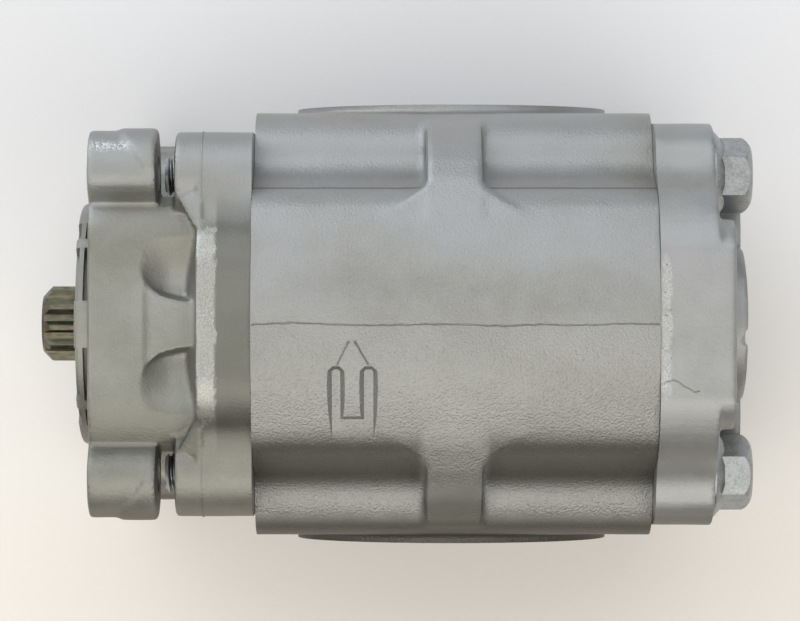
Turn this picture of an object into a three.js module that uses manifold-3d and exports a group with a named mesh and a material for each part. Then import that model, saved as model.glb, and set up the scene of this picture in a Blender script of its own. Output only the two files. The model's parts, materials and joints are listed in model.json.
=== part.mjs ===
// External gear pump with a four-lug mounting flange, two integral gear shafts and face ports.
// Millimetres. +X runs along the shafts towards the rear cover, +Y to the outlet side, +Z up.
// The pump lies on its idler side. The origin is under the middle of the pump, on the surface
// it lies on. Sections are drawn about the middle plane between the two gears.
import * as THREE from "three";
import { mergeVertices } from "three/addons/utils/BufferGeometryUtils.js";
import Module from "manifold-3d";

const wasm = await Module();
wasm.setup();

// ---- Driving dimensions ----
const SPLINE_REACH = 10; // splined end in front of the pilot
const PILOT_HEIGHT = 3.5; // pilot in front of the mounting face
const LUG_THICKNESS = 16.6;
const SLOT_WIDTH = 4.4; // gap between a lug and the bolt boss behind it
const BOSS_THICKNESS = 5.5; // bolt bosses in front of the clamping plate
const PLATE_THICKNESS = 13.1; // clamping plate of the front cover
const BODY_LENGTH = 96.6;
const COVER_THICKNESS = 14.3; // rear cover at its bolts
const HEAD_HEIGHT = 10; // flange bolt head, flange included
const CLEARANCE = 0.3; // between parts that turn or fit in one another
const JOINT_GAP = 0.1; // between clamped faces
const PUMP_LENGTH =
  SPLINE_REACH + PILOT_HEIGHT + LUG_THICKNESS + SLOT_WIDTH + BOSS_THICKNESS +
  PLATE_THICKNESS + BODY_LENGTH + COVER_THICKNESS + HEAD_HEIGHT + CLEARANCE;

const CENTRE_DISTANCE = 42;
const AXIS = CENTRE_DISTANCE / 2; // each shaft's distance from the middle plane
const HALF_HEIGHT = 67; // casting's crown above the middle plane
const FOOT_CUT = 1.6; // flat that the crown of the underside loses
const MIDDLE_Z = HALF_HEIGHT - FOOT_CUT;

// Stations along X.
const SHAFT_END = -PUMP_LENGTH / 2;
const PILOT_FRONT = SHAFT_END + SPLINE_REACH;
const MOUNT_FACE = PILOT_FRONT + PILOT_HEIGHT;
const LUG_BACK = MOUNT_FACE + LUG_THICKNESS;
const BOSS_FRONT = LUG_BACK + SLOT_WIDTH;
const PLATE_FRONT = BOSS_FRONT + BOSS_THICKNESS;
const BODY_FRONT = PLATE_FRONT + PLATE_THICKNESS;
const BODY_BACK = BODY_FRONT + BODY_LENGTH;
const BODY_MIDDLE = (BODY_FRONT + BODY_BACK) / 2;
const COVER_FACE = BODY_BACK + COVER_THICKNESS;

// Bolts, lugs and dowels: Y and Z of the ones above the middle plane.
const BOLT = { y: 36.4, z: 31.5, radius: 5, hole: 5.4, point: 4.1, reach: 3.6 };
const HEAD = {
  acrossFlats: 16, turn: 3, flangeRadius: 10.8, flangeEdge: 1, flangeHeight: 2.6, flangeTop: 8.8,
  crown: 1.2, crownRadius: 7.5,
};
const LUG = { y: 36.4, z: 45.2, radius: 10.3, hole: 4.3 };
const LOBE = { y: 35.7, z: 46.4, radius: 10.6, low: 28 };
const DOWEL = { y: 38.5, radius: 3, hole: 3.3, length: 14, chamfer: 0.7 };

// Pilot ring and its relief pockets, angles in degrees from the top.
const PILOT = { radius: 29.75, bore: 18, pocketDepth: 3.2, rimSetback: 1, rimWidth: 1.1, chamfer: 0.8 };
const POCKETS = [[11, 38.5], [44, 56]];

// Ports.
const PORT_FACE = 54.2;
const PORT_BOSS = { halfLength: 39, halfHeight: 26 };
const PORT_DEPTH = 8; // distance of the port's inner end from the middle
const INLET = { radius: 13, boltCircle: 25.5, boltHole: 3.4, boltDepth: 13 };
const OUTLET = { radius: 10, boltCircle: 21, boltHole: 3.4, boltDepth: 13 };

// Gears and shafts.
const GEAR = {
  teeth: 12, module: 3.5, pressureAngle: 25, dedendum: 1.14, backlash: 0.3, width: 35,
  rootFillet: 0.5, rootSpread: 0.035, flankSteps: 4,
};
const TIP_RADIUS = (GEAR.module * (GEAR.teeth + 2)) / 2;
const JOURNAL = 12;
const SEAL_JOURNAL = 11;
const SPLINE = { teeth: 11, outer: 9.3, root: 7.7, length: 24, tipShare: 0.24, rootShare: 0.62, turn: 5.5 };
const SPLINE_CHAMFER = 2.2;
const SHAFT_CHAMFER = 1;
const SHAFT_STEP = 6; // length of the seal journal behind the seal
const JOURNAL_END_GAP = 1.6;

// Bearing blocks and bushes, inside the body's bore.
const CAVITY = TIP_RADIUS + CLEARANCE;
const BUSH_WALL = 1.2;
const BLOCK_LENGTH = (BODY_LENGTH - GEAR.width - 4 * CLEARANCE) / 2;
const RELIEF = { depth: 2, y: 9.5, halfWidth: 3, halfHeight: 4 }; // pockets between the gears

// Seals and their grooves.
const SEAL_GROOVE = { depth: 2.2, gap: 0.25 };
const BALANCE_GROOVE = { depth: 3.4, backup: 1.1, seal: 1.7, gap: 0.2 };
const BODY_SEAL = { inner: 26.1, outer: 28.6 };
const PRESSURE_SEAL = { inner: 18.6, outer: 21.7, cutY: -4 };
const SHAFT_SEAL = {
  outer: 17.5, lip: 11.3, length: 8, wall: 1.6, back: 2, bed: 4, lipEnd: 6.6, root: 2.2, skin: 1.1,
};
const CLIP = {
  outer: 18.6, inner: 15.4, thickness: 1.5, gapHalfAngle: 0.28, eye: 2.1, eyeHole: 0.9, eyeTurn: 0.1,
};
const SEAL_BORE_STEP = 1.5; // opening behind the seal, wider than the journal
const SEAL_FRONT = MOUNT_FACE + 3.4;

// Castings.
const SIDE = { body: 52, cover: 49, neck: 30.8 };
const PLATE_TOP = 65.4;
const COVER_TOP = 66.2;
const NECK = { top: 54, corner: 6 };
const RIB = { halfWidth: 6.7, flank: 60.6, y: 6, radius: 45.7 };
const REAR_PAD = { thickness: 3.8, flat: 18, halfWidth: 25 };
const REAR_BRIDGE = { halfWidth: 30, corner: 6 }; // flat web between the two rear bosses
const REAR_BOSS = { radius: 19, reach: 9.1 };

// ---- Materials ----
function metal(color, roughness, metalness) {
  return new THREE.MeshStandardMaterial({ color, roughness, metalness });
}
const CAST = metal(0x9d9e98, 0.55, 0.85);
const CAST_FRONT = metal(0x92938a, 0.58, 0.85);
const ZINC = metal(0xc4c8c6, 0.3, 0.95);
const DARK_STEEL = metal(0x5b574a, 0.42, 0.9);
const GROUND_STEEL = metal(0x8b8c8b, 0.25, 0.95);
const BLOCK_ALLOY = metal(0xb7b8b4, 0.35, 0.9);
const BUSH_BRONZE = metal(0x7d6a4a, 0.45, 0.8);
const SPRING_STEEL = metal(0x3c3b39, 0.4, 0.8);
const SEAL_RUBBER = metal(0x1a1a1a, 0.8, 0);
const BACKUP_PLASTIC = metal(0xd8d2bf, 0.6, 0);

// ---- Geometry helpers ----
const deg = THREE.MathUtils.degToRad;

// A closed three.js geometry as a solid that can be joined and cut.
function solid(geometry) {
  const bare = geometry.index ? geometry.toNonIndexed() : geometry.clone();
  bare.deleteAttribute("normal");
  bare.deleteAttribute("uv");
  const merged = mergeVertices(bare, 1e-4);
  return new wasm.Manifold(
    new wasm.Mesh({
      numProp: 3,
      vertProperties: new Float32Array(merged.getAttribute("position").array),
      triVerts: new Uint32Array(merged.index.array),
    }),
  );
}

// A solid as a named mesh.
function named(name, made, material) {
  const { vertProperties, triVerts } = made.getMesh();
  const geometry = new THREE.BufferGeometry()
    .setAttribute("position", new THREE.BufferAttribute(vertProperties, 3))
    .setIndex(new THREE.BufferAttribute(triVerts, 1));
  geometry.computeVertexNormals();
  const mesh = new THREE.Mesh(geometry, material);
  mesh.name = name;
  return mesh;
}

const joined = (...parts) => parts.reduce((sum, part) => sum.add(part));
const cut = (from, ...tools) => tools.reduce((rest, tool) => rest.subtract(tool), from);

// Turns a drawing's x, y and depth into Y, Z and X.
const ALONG_X = new THREE.Matrix4().set(0, 0, 1, 0, 1, 0, 0, 0, 0, 1, 0, 0, 0, 0, 0, 1);

// A section drawn in Y and Z, extruded from one X station to another.
function alongX(shape, fromX, toX, curveSegments = 8) {
  const geometry = new THREE.ExtrudeGeometry(shape, {
    depth: toX - fromX,
    bevelEnabled: false,
    curveSegments,
  });
  return solid(geometry.translate(0, 0, fromX).applyMatrix4(ALONG_X));
}

// An outline drawn in X and Z, extruded from one Y to a larger Y.
function alongY(shape, fromY, toY, curveSegments = 12) {
  const geometry = new THREE.ExtrudeGeometry(shape, {
    depth: toY - fromY,
    bevelEnabled: false,
    curveSegments,
  });
  return solid(geometry.rotateX(Math.PI / 2).translate(0, toY, 0));
}

// A profile of [x, radius] points, closed on the axis, turned about a line along X.
function turned(profile, y = 0, z = 0, segments = 28) {
  const points = profile.map(([x, radius]) => new THREE.Vector2(radius, x));
  const geometry = new THREE.LatheGeometry(points, segments);
  return solid(geometry.rotateZ(-Math.PI / 2).translate(0, y, z));
}

function disc(y, z, radius, fromX, toX, segments = 24) {
  return turned([[fromX, 0], [fromX, radius], [toX, radius], [toX, 0]], y, z, segments);
}

function block(fromX, toX, fromY, toY, fromZ, toZ) {
  const box = new THREE.BoxGeometry(toX - fromX, toY - fromY, toZ - fromZ);
  return solid(box.translate((fromX + toX) / 2, (fromY + toY) / 2, (fromZ + toZ) / 2));
}

// The four places that mirror one place above and to the right of the middle.
function corners({ y, z }) {
  return [[y, z], [-y, z], [y, -z], [-y, -z]];
}

// A closed section from its upper right quarter, which runs from the top centre to the side.
function fourWay(quarter) {
  const right = quarter.getPoints(4);
  const ring = [
    ...right,
    ...right.map((p) => new THREE.Vector2(p.x, -p.y)).reverse(),
    ...right.map((p) => new THREE.Vector2(-p.x, -p.y)),
    ...right.map((p) => new THREE.Vector2(-p.x, p.y)).reverse(),
  ];
  const kept = ring.filter((p, i) => p.distanceTo(ring[(i + 1) % ring.length]) > 1e-3);
  return new THREE.Shape(kept.reverse());
}

// Two equal circles about the shaft axes, joined where they meet.
function figureEight(radius, segments = 10) {
  const open = Math.asin(Math.min(1, AXIS / radius));
  const upper = new THREE.Path().absarc(0, AXIS, radius, -open, Math.PI + open, false);
  const lower = new THREE.Path().absarc(0, -AXIS, radius, Math.PI - open, 2 * Math.PI + open, false);
  const ring = [...upper.getPoints(segments), ...lower.getPoints(segments)];
  const kept = ring.filter((p, i) => p.distanceTo(ring[(i + 1) % ring.length]) > 1e-3);
  return new THREE.Shape(kept);
}

// ---- Sections of the castings, upper right quarter ----
function bodySection() {
  const crown = 59.5;
  const quarter = new THREE.Path();
  quarter.absarc(0, HALF_HEIGHT - crown, crown, deg(90), deg(63), true);
  quarter.quadraticCurveTo(31.2, 58.6, 33.2, 51);
  quarter.lineTo(35.4, 46.2);
  quarter.quadraticCurveTo(37.6, 40.4, 42.6, 40);
  quarter.quadraticCurveTo(50.4, 38.6, SIDE.body, 26);
  quarter.lineTo(SIDE.body, 0);
  return fourWay(quarter);
}

function plateSection() {
  const quarter = new THREE.Path();
  quarter.moveTo(0, PLATE_TOP);
  quarter.quadraticCurveTo(12, PLATE_TOP, 20, 63);
  quarter.quadraticCurveTo(23.2, 62, 24, 57.5);
  quarter.quadraticCurveTo(24.8, 55.4, 28, 55.6);
  quarter.lineTo(LOBE.y - 1.5, LOBE.z + LOBE.radius);
  quarter.lineTo(LOBE.y, LOBE.z + LOBE.radius);
  quarter.absarc(LOBE.y, LOBE.z, LOBE.radius, Math.PI / 2, 0, true);
  quarter.lineTo(LOBE.y + LOBE.radius, 0);
  return fourWay(quarter);
}

function coverSection() {
  const quarter = new THREE.Path();
  quarter.moveTo(0, COVER_TOP);
  quarter.lineTo(REAR_PAD.flat, COVER_TOP);
  quarter.quadraticCurveTo(27, 64, 33, 57);
  quarter.quadraticCurveTo(36.5, 51.6, 41, 50.6);
  quarter.quadraticCurveTo(48.4, 49, SIDE.cover, 36);
  quarter.lineTo(SIDE.cover, 0);
  return fourWay(quarter);
}

// The rear cover's middle part, which stands further back than its bolt corners.
function rearPadSection() {
  const quarter = new THREE.Path();
  quarter.moveTo(0, COVER_TOP);
  quarter.lineTo(REAR_PAD.flat, COVER_TOP);
  quarter.quadraticCurveTo(23, 64.5, REAR_PAD.halfWidth, 58);
  quarter.lineTo(REAR_PAD.halfWidth, 0);
  return fourWay(quarter);
}

function rearBridgeSection() {
  const { halfWidth, corner } = REAR_BRIDGE;
  const quarter = new THREE.Path();
  quarter.moveTo(0, AXIS);
  quarter.lineTo(halfWidth - corner, AXIS);
  quarter.quadraticCurveTo(halfWidth, AXIS, halfWidth, AXIS - corner);
  quarter.lineTo(halfWidth, 0);
  return fourWay(quarter);
}

function neckSection() {
  const quarter = new THREE.Path();
  quarter.moveTo(0, NECK.top);
  quarter.lineTo(SIDE.neck - NECK.corner, NECK.top);
  quarter.absarc(SIDE.neck - NECK.corner, NECK.top - NECK.corner, NECK.corner, Math.PI / 2, 0, true);
  quarter.lineTo(SIDE.neck, 0);
  return fourWay(quarter);
}

// A tall round-ended boss above (or, with side -1, below) the middle plane.
function lobeShape(y, side) {
  const shape = new THREE.Shape();
  shape.absarc(y, LOBE.z, LOBE.radius, 0, Math.PI, false);
  shape.absarc(y, LOBE.low, LOBE.radius, Math.PI, 2 * Math.PI, false);
  if (side > 0) return shape;
  return new THREE.Shape(shape.getPoints(10).map((p) => new THREE.Vector2(p.x, -p.y)));
}

// ---- Castings ----
// Flat on the underside, so that the pump lies steady.
function footCut(fromX, toX) {
  return block(fromX, toX, -SIDE.body, SIDE.body, -HALF_HEIGHT - FOOT_CUT, -MIDDLE_Z);
}

// A sector of the pilot ring's rim between two angles from the top.
function rimSector(fromDegrees, toDegrees, fromX, toX) {
  const [from, to] = [deg(90 - toDegrees), deg(90 - fromDegrees)];
  const sector = new THREE.Shape();
  sector.absarc(0, AXIS, PILOT.radius + 1, from, to, false);
  sector.absarc(0, AXIS, PILOT.radius - PILOT.pocketDepth, to, from, true);
  return alongX(sector, fromX, toX, 2);
}

// Relief pockets: the rim stands back in front of each, and a groove runs behind the rim.
function pilotPockets() {
  const rim = PILOT_FRONT + PILOT.rimSetback;
  const quadrants = [(a) => a, (a) => -a, (a) => 180 - a, (a) => 180 + a];
  return quadrants.flatMap((place) =>
    POCKETS.flatMap((range) => {
      const [low, high] = range.map(place).sort((p, q) => p - q);
      return [
        rimSector(low, high, PILOT_FRONT - 1, rim),
        rimSector(low, high, rim + PILOT.rimWidth, MOUNT_FACE),
      ];
    }),
  );
}

function frontCover() {
  const pilot = turned(
    [
      [PILOT_FRONT, 0],
      [PILOT_FRONT, PILOT.radius - PILOT.chamfer],
      [PILOT_FRONT + PILOT.chamfer, PILOT.radius],
      [MOUNT_FACE + 1, PILOT.radius],
      [MOUNT_FACE + 1, 0],
    ],
    0, AXIS, 48,
  );
  const plate = alongX(plateSection(), PLATE_FRONT, BODY_FRONT - JOINT_GAP);
  const neck = alongX(neckSection(), MOUNT_FACE, PLATE_FRONT + 1);
  const lugs = corners(LUG).map(([y, z]) => disc(y, z, LUG.radius, MOUNT_FACE, LUG_BACK, 24));
  const lobes = corners(LOBE).map(([y, z]) =>
    alongX(lobeShape(y, Math.sign(z)), BOSS_FRONT, PLATE_FRONT + 1),
  );
  const lugHoles = corners(LUG).map(([y, z]) =>
    disc(y, z, LUG.hole, MOUNT_FACE - 1, LUG_BACK + 1, 14),
  );
  const boltHoles = corners(BOLT).map(([y, z]) =>
    disc(y, z, BOLT.radius + CLEARANCE, BOSS_FRONT - 1, BODY_FRONT + 1, 20),
  );
  const dowelHoles = [DOWEL.y, -DOWEL.y].map((y) =>
    disc(y, 0, DOWEL.hole, BODY_FRONT - DOWEL.length / 2 - 1, BODY_FRONT + 1, 16),
  );
  const shaftBore = turned(
    [
      [PILOT_FRONT - 1, 0],
      [PILOT_FRONT - 1, PILOT.bore],
      [SEAL_FRONT - CLIP.thickness - 2 * CLEARANCE, PILOT.bore],
      [SEAL_FRONT - CLIP.thickness - 2 * CLEARANCE, CLIP.outer + CLEARANCE],
      [SEAL_FRONT - CLEARANCE, CLIP.outer + CLEARANCE],
      [SEAL_FRONT - CLEARANCE, SHAFT_SEAL.outer + CLEARANCE],
      [SEAL_FRONT + SHAFT_SEAL.length + CLEARANCE, SHAFT_SEAL.outer + CLEARANCE],
      [SEAL_FRONT + SHAFT_SEAL.length + CLEARANCE, JOURNAL + SEAL_BORE_STEP],
      [BODY_FRONT + 1, JOURNAL + SEAL_BORE_STEP],
      [BODY_FRONT + 1, 0],
    ],
    0, AXIS, 28,
  );
  return cut(
    joined(neck, pilot, plate, ...lugs, ...lobes),
    ...pilotPockets(), ...lugHoles, ...boltHoles, ...dowelHoles,
    shaftBore, footCut(PLATE_FRONT - 1, BODY_FRONT + 1),
  );
}

function sealGroove(fromX, toX) {
  return cut(
    alongX(figureEight(BODY_SEAL.outer), fromX, toX),
    alongX(figureEight(BODY_SEAL.inner), fromX - 1, toX + 1),
  );
}

// Cross rib that stands out of the body's corner hollows, from the crown to the side.
function bodyRib() {
  const quarter = new THREE.Path();
  quarter.moveTo(0, RIB.flank);
  quarter.lineTo(26, RIB.flank);
  quarter.absarc(RIB.y, AXIS, RIB.radius, deg(61), 0, true);
  quarter.lineTo(SIDE.body, 0);
  return alongX(fourWay(quarter), BODY_MIDDLE - RIB.halfWidth, BODY_MIDDLE + RIB.halfWidth);
}

// The port's bore and its four tapped holes, cut from the face on one side of the body.
function portCuts(port, side) {
  const hole = (x, z, radius, depth) => {
    const shape = new THREE.Shape().absarc(x, z, radius, 0, 2 * Math.PI, false);
    const [from, to] = [side * (PORT_FACE - depth), side * (PORT_FACE + 1)];
    return alongY(shape, Math.min(from, to), Math.max(from, to), radius > 5 ? 14 : 6);
  };
  const arm = port.boltCircle * Math.SQRT1_2;
  const bolts = [[1, 1], [1, -1], [-1, 1], [-1, -1]].map(([i, j]) =>
    hole(BODY_MIDDLE + i * arm, j * arm, port.boltHole, port.boltDepth),
  );
  return [hole(BODY_MIDDLE, 0, port.radius, PORT_FACE - PORT_DEPTH), ...bolts];
}

function body() {
  const bossOutline = new THREE.Shape().absellipse(
    BODY_MIDDLE, 0, PORT_BOSS.halfLength, PORT_BOSS.halfHeight, 0, 2 * Math.PI, false, 0,
  );
  const outside = joined(
    alongX(bodySection(), BODY_FRONT, BODY_BACK),
    bodyRib(),
    alongY(bossOutline, -PORT_FACE, PORT_FACE, 20),
  );
  const boltHoles = corners(BOLT).map(([y, z]) =>
    disc(y, z, BOLT.hole, BODY_FRONT - 1, BODY_BACK + 1, 20),
  );
  const dowelHoles = [DOWEL.y, -DOWEL.y].flatMap((y) => [
    disc(y, 0, DOWEL.hole, BODY_FRONT - 1, BODY_FRONT + DOWEL.length / 2 + 1, 14),
    disc(y, 0, DOWEL.hole, BODY_BACK - DOWEL.length / 2 - 1, BODY_BACK + 1, 14),
  ]);
  return cut(
    outside,
    alongX(figureEight(CAVITY, 14), BODY_FRONT - 1, BODY_BACK + 1),
    sealGroove(BODY_FRONT - 1, BODY_FRONT + SEAL_GROOVE.depth),
    sealGroove(BODY_BACK - SEAL_GROOVE.depth, BODY_BACK + 1),
    ...boltHoles, ...dowelHoles, ...portCuts(INLET, -1), ...portCuts(OUTLET, 1),
    footCut(BODY_FRONT - 1, BODY_BACK + 1),
  );
}

function rearCover() {
  const front = BODY_BACK + JOINT_GAP;
  const bosses = [AXIS, -AXIS].map((z) =>
    disc(0, z, REAR_BOSS.radius, COVER_FACE, COVER_FACE + REAR_BOSS.reach, 32),
  );
  const boltHoles = corners(BOLT).map(([y, z]) =>
    disc(y, z, BOLT.hole, BODY_BACK - 1, COVER_FACE + 1, 20),
  );
  const dowelHoles = [DOWEL.y, -DOWEL.y].map((y) =>
    disc(y, 0, DOWEL.hole, BODY_BACK - 1, BODY_BACK + DOWEL.length / 2 + 1, 14),
  );
  return cut(
    joined(
      alongX(coverSection(), front, COVER_FACE),
      alongX(rearPadSection(), COVER_FACE - 1, COVER_FACE + REAR_PAD.thickness),
      alongX(rearBridgeSection(), COVER_FACE - 1, COVER_FACE + REAR_BOSS.reach),
      ...bosses,
    ),
    ...boltHoles, ...dowelHoles,
    footCut(BODY_BACK - 1, COVER_FACE + REAR_BOSS.reach + 1),
  );
}

// ---- Fasteners ----
// Flange bolt: hexagon on a conical flange, shank through both castings, chamfered point.
function coverBolt(y, z) {
  const seat = COVER_FACE + CLEARANCE;
  const top = COVER_FACE + CLEARANCE + HEAD_HEIGHT;
  const point = BOSS_FRONT - BOLT.reach;
  const corner = HEAD.acrossFlats / Math.sqrt(3);
  const hexagon = new THREE.Shape(
    [0, 1, 2, 3, 4, 5].map((i) => {
      const angle = (i * Math.PI) / 3 + deg(HEAD.turn);
      return new THREE.Vector2(corner * Math.cos(angle), corner * Math.sin(angle));
    }),
  );
  const hexEnvelope = turned(
    [
      [seat, 0],
      [seat, corner + 1],
      [top - HEAD.crown, corner],
      [top, HEAD.crownRadius],
      [top, 0],
    ],
    0, 0, 18,
  );
  const head = alongX(hexagon, seat, top).intersect(hexEnvelope);
  const flange = turned(
    [
      [seat, 0],
      [seat, HEAD.flangeRadius],
      [seat + HEAD.flangeEdge, HEAD.flangeRadius],
      [seat + HEAD.flangeHeight, HEAD.flangeTop],
      [seat + HEAD.flangeHeight, 0],
    ],
    0, 0, 18,
  );
  const shank = turned(
    [
      [point, 0],
      [point, BOLT.point],
      [point + BOLT.radius - BOLT.point, BOLT.radius],
      [seat + 1, BOLT.radius],
      [seat + 1, 0],
    ],
    0, 0, 18,
  );
  return joined(shank, flange, head).translate([0, y, z]);
}

function dowel(y, jointX) {
  const { radius, chamfer } = DOWEL;
  const [from, to] = [jointX - DOWEL.length / 2, jointX + DOWEL.length / 2];
  const profile = [
    [from, 0], [from, radius - chamfer], [from + chamfer, radius],
    [to - chamfer, radius], [to, radius - chamfer], [to, 0],
  ];
  return turned(profile, y, 0, 12);
}

// ---- Gears and shafts ----
const involute = (angle) => Math.tan(angle) - angle;

// One flank of a tooth as [radius, half angle] pairs, from the root to the tip.
function toothFlank() {
  const pressure = deg(GEAR.pressureAngle);
  const pitch = (GEAR.module * GEAR.teeth) / 2;
  const base = pitch * Math.cos(pressure);
  const root = pitch - GEAR.module * GEAR.dedendum;
  const halfAtPitch = (Math.PI * GEAR.module - GEAR.backlash) / 4 / pitch;
  const halfAt = (radius) =>
    halfAtPitch + involute(pressure) - involute(Math.acos(Math.min(1, base / radius)));
  const flank = [[root, halfAt(base) + GEAR.rootSpread], [root + GEAR.rootFillet, halfAt(base)]];
  for (let i = 0; i <= GEAR.flankSteps; i += 1) {
    const radius = base + ((TIP_RADIUS - base) * i) / GEAR.flankSteps;
    flank.push([radius, halfAt(radius)]);
  }
  return flank;
}

// The gear's outline about its own axis, with the first tooth's centre at the given angle.
function gearShape(firstTooth) {
  const flank = toothFlank();
  const outline = [];
  for (let tooth = 0; tooth < GEAR.teeth; tooth += 1) {
    const centre = firstTooth + (tooth * 2 * Math.PI) / GEAR.teeth;
    const rising = flank.map(([radius, half]) => [radius, centre - half]);
    const falling = [...flank].reverse().map(([radius, half]) => [radius, centre + half]);
    for (const [radius, angle] of [...rising, ...falling]) {
      outline.push(new THREE.Vector2(radius * Math.cos(angle), radius * Math.sin(angle)));
    }
  }
  return new THREE.Shape(outline);
}

function splineShape() {
  const pitch = (2 * Math.PI) / SPLINE.teeth;
  const outline = [];
  for (let tooth = 0; tooth < SPLINE.teeth; tooth += 1) {
    const centre = deg(90 + SPLINE.turn) + tooth * pitch;
    for (const [radius, share] of [
      [SPLINE.root, -SPLINE.rootShare], [SPLINE.outer, -SPLINE.tipShare],
      [SPLINE.outer, SPLINE.tipShare], [SPLINE.root, SPLINE.rootShare],
    ]) {
      const angle = centre + (share * pitch) / 2;
      outline.push(new THREE.Vector2(radius * Math.cos(angle), radius * Math.sin(angle)));
    }
  }
  return new THREE.Shape(outline);
}

const GEAR_FROM = BODY_MIDDLE - GEAR.width / 2;
const GEAR_TO = BODY_MIDDLE + GEAR.width / 2;

// Either gear, about its own axis.
function gear(firstTooth) {
  return alongX(gearShape(firstTooth), GEAR_FROM, GEAR_TO);
}

function driveGearShaft() {
  const splineBack = SHAFT_END + SPLINE.length;
  const journalFront = SEAL_FRONT + SHAFT_SEAL.length + SHAFT_STEP;
  const rearEnd = BODY_BACK - JOURNAL_END_GAP;
  const shaft = turned(
    [
      [splineBack, 0],
      [splineBack, SPLINE.root],
      [SEAL_FRONT - 2.5, SPLINE.root],
      [SEAL_FRONT - 1.5, SEAL_JOURNAL - 0.6],
      [SEAL_FRONT - 0.5, SEAL_JOURNAL],
      [journalFront, SEAL_JOURNAL],
      [journalFront + SHAFT_CHAMFER, JOURNAL],
      [rearEnd - SHAFT_CHAMFER, JOURNAL],
      [rearEnd, JOURNAL - SHAFT_CHAMFER],
      [rearEnd, 0],
    ],
    0, 0, 28,
  );
  const chamferedEnd = turned(
    [
      [SHAFT_END, 0],
      [SHAFT_END, SPLINE.outer - SPLINE_CHAMFER],
      [SHAFT_END + SPLINE_CHAMFER, SPLINE.outer],
      [SHAFT_END + SPLINE_CHAMFER, SPLINE.outer + 1],
      [SEAL_FRONT, SPLINE.outer + 1],
      [SEAL_FRONT, 0],
    ],
    0, 0, 32,
  );
  const spline = alongX(splineShape(), SHAFT_END, SEAL_FRONT - 2).intersect(chamferedEnd);
  return joined(shaft, spline, gear(deg(-90)));
}

function idlerGearShaft() {
  const [from, to] = [BODY_FRONT + JOURNAL_END_GAP, BODY_BACK - JOURNAL_END_GAP];
  const shaft = turned(
    [
      [from, 0],
      [from, JOURNAL - SHAFT_CHAMFER],
      [from + SHAFT_CHAMFER, JOURNAL],
      [to - SHAFT_CHAMFER, JOURNAL],
      [to, JOURNAL - SHAFT_CHAMFER],
      [to, 0],
    ],
    0, 0, 28,
  );
  return joined(shaft, gear(deg(90) + Math.PI / GEAR.teeth));
}

// ---- Bearing blocks, bushes and seals ----
// A ring of figure-eight form between two radii, kept on the outlet side.
function eightRing(inner, outer, fromX, toX) {
  const rings = [AXIS, -AXIS].map((z) => disc(0, z, inner, fromX - 1, toX + 1, 24));
  const kept = block(fromX - 2, toX + 2, PRESSURE_SEAL.cutY, HALF_HEIGHT, -HALF_HEIGHT, HALF_HEIGHT);
  return cut(alongX(figureEight(outer), fromX, toX), ...rings).intersect(kept);
}

// side is -1 for the block in front of the gears and 1 for the one behind them.
function bearingBlock(side) {
  const outer = side < 0 ? BODY_FRONT + CLEARANCE : BODY_BACK - CLEARANCE;
  const inner = outer - side * BLOCK_LENGTH;
  const [from, to] = [Math.min(outer, inner), Math.max(outer, inner)];
  const bores = [AXIS, -AXIS].map((z) =>
    disc(0, z, JOURNAL + BUSH_WALL + 2 * CLEARANCE, from - 1, to + 1, 24),
  );
  const reliefs = [1, -1].map((turn) => {
    const mouth = inner + side * RELIEF.depth;
    const [a, b] = [Math.min(inner - side, mouth), Math.max(inner - side, mouth)];
    const y = turn * RELIEF.y;
    return block(a, b, y - RELIEF.halfWidth, y + RELIEF.halfWidth, -RELIEF.halfHeight, RELIEF.halfHeight);
  });
  const grooveEnd = outer - side * BALANCE_GROOVE.depth;
  const [g0, g1] = [Math.min(outer + side, grooveEnd), Math.max(outer + side, grooveEnd)];
  return cut(
    alongX(figureEight(TIP_RADIUS, 12), from, to),
    ...bores, ...reliefs,
    eightRing(PRESSURE_SEAL.inner, PRESSURE_SEAL.outer, g0, g1),
  );
}

function bush(side, z) {
  const outer = side < 0 ? BODY_FRONT + 2 * CLEARANCE : BODY_BACK - 2 * CLEARANCE;
  const inner = outer - side * (BLOCK_LENGTH - CLEARANCE);
  const [from, to] = [Math.min(outer, inner), Math.max(outer, inner)];
  const bore = JOURNAL + CLEARANCE;
  return cut(
    disc(0, z, bore + BUSH_WALL, from, to, 24),
    disc(0, z, bore, from - 1, to + 1, 24),
  );
}

// A three-shaped strip in the block's balance groove, between two depths under the block's face.
function pressureStrip(side, fromDepth, toDepth) {
  const face = side < 0 ? BODY_FRONT + CLEARANCE : BODY_BACK - CLEARANCE;
  const [a, b] = [face - side * fromDepth, face - side * toDepth];
  const [from, to] = [Math.min(a, b), Math.max(a, b)];
  const ends = block(
    from - 1, to + 1, PRESSURE_SEAL.cutY + CLEARANCE, HALF_HEIGHT, -HALF_HEIGHT, HALF_HEIGHT,
  );
  const { inner, outer } = PRESSURE_SEAL;
  return eightRing(inner + CLEARANCE, outer - CLEARANCE, from, to).intersect(ends);
}

function backupRing(side) {
  return pressureStrip(side, 0, BALANCE_GROOVE.backup);
}

function pressureSeal(side) {
  const top = BALANCE_GROOVE.backup + BALANCE_GROOVE.gap;
  return pressureStrip(side, top, top + BALANCE_GROOVE.seal);
}

function bodySeal(side) {
  const mouth = side < 0 ? BODY_FRONT : BODY_BACK;
  const floor = mouth - side * (SEAL_GROOVE.depth - SEAL_GROOVE.gap);
  const [from, to] = [Math.min(mouth, floor), Math.max(mouth, floor)];
  return cut(
    alongX(figureEight(BODY_SEAL.outer - SEAL_GROOVE.gap), from, to),
    alongX(figureEight(BODY_SEAL.inner + SEAL_GROOVE.gap), from - 1, to + 1),
  );
}

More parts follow.
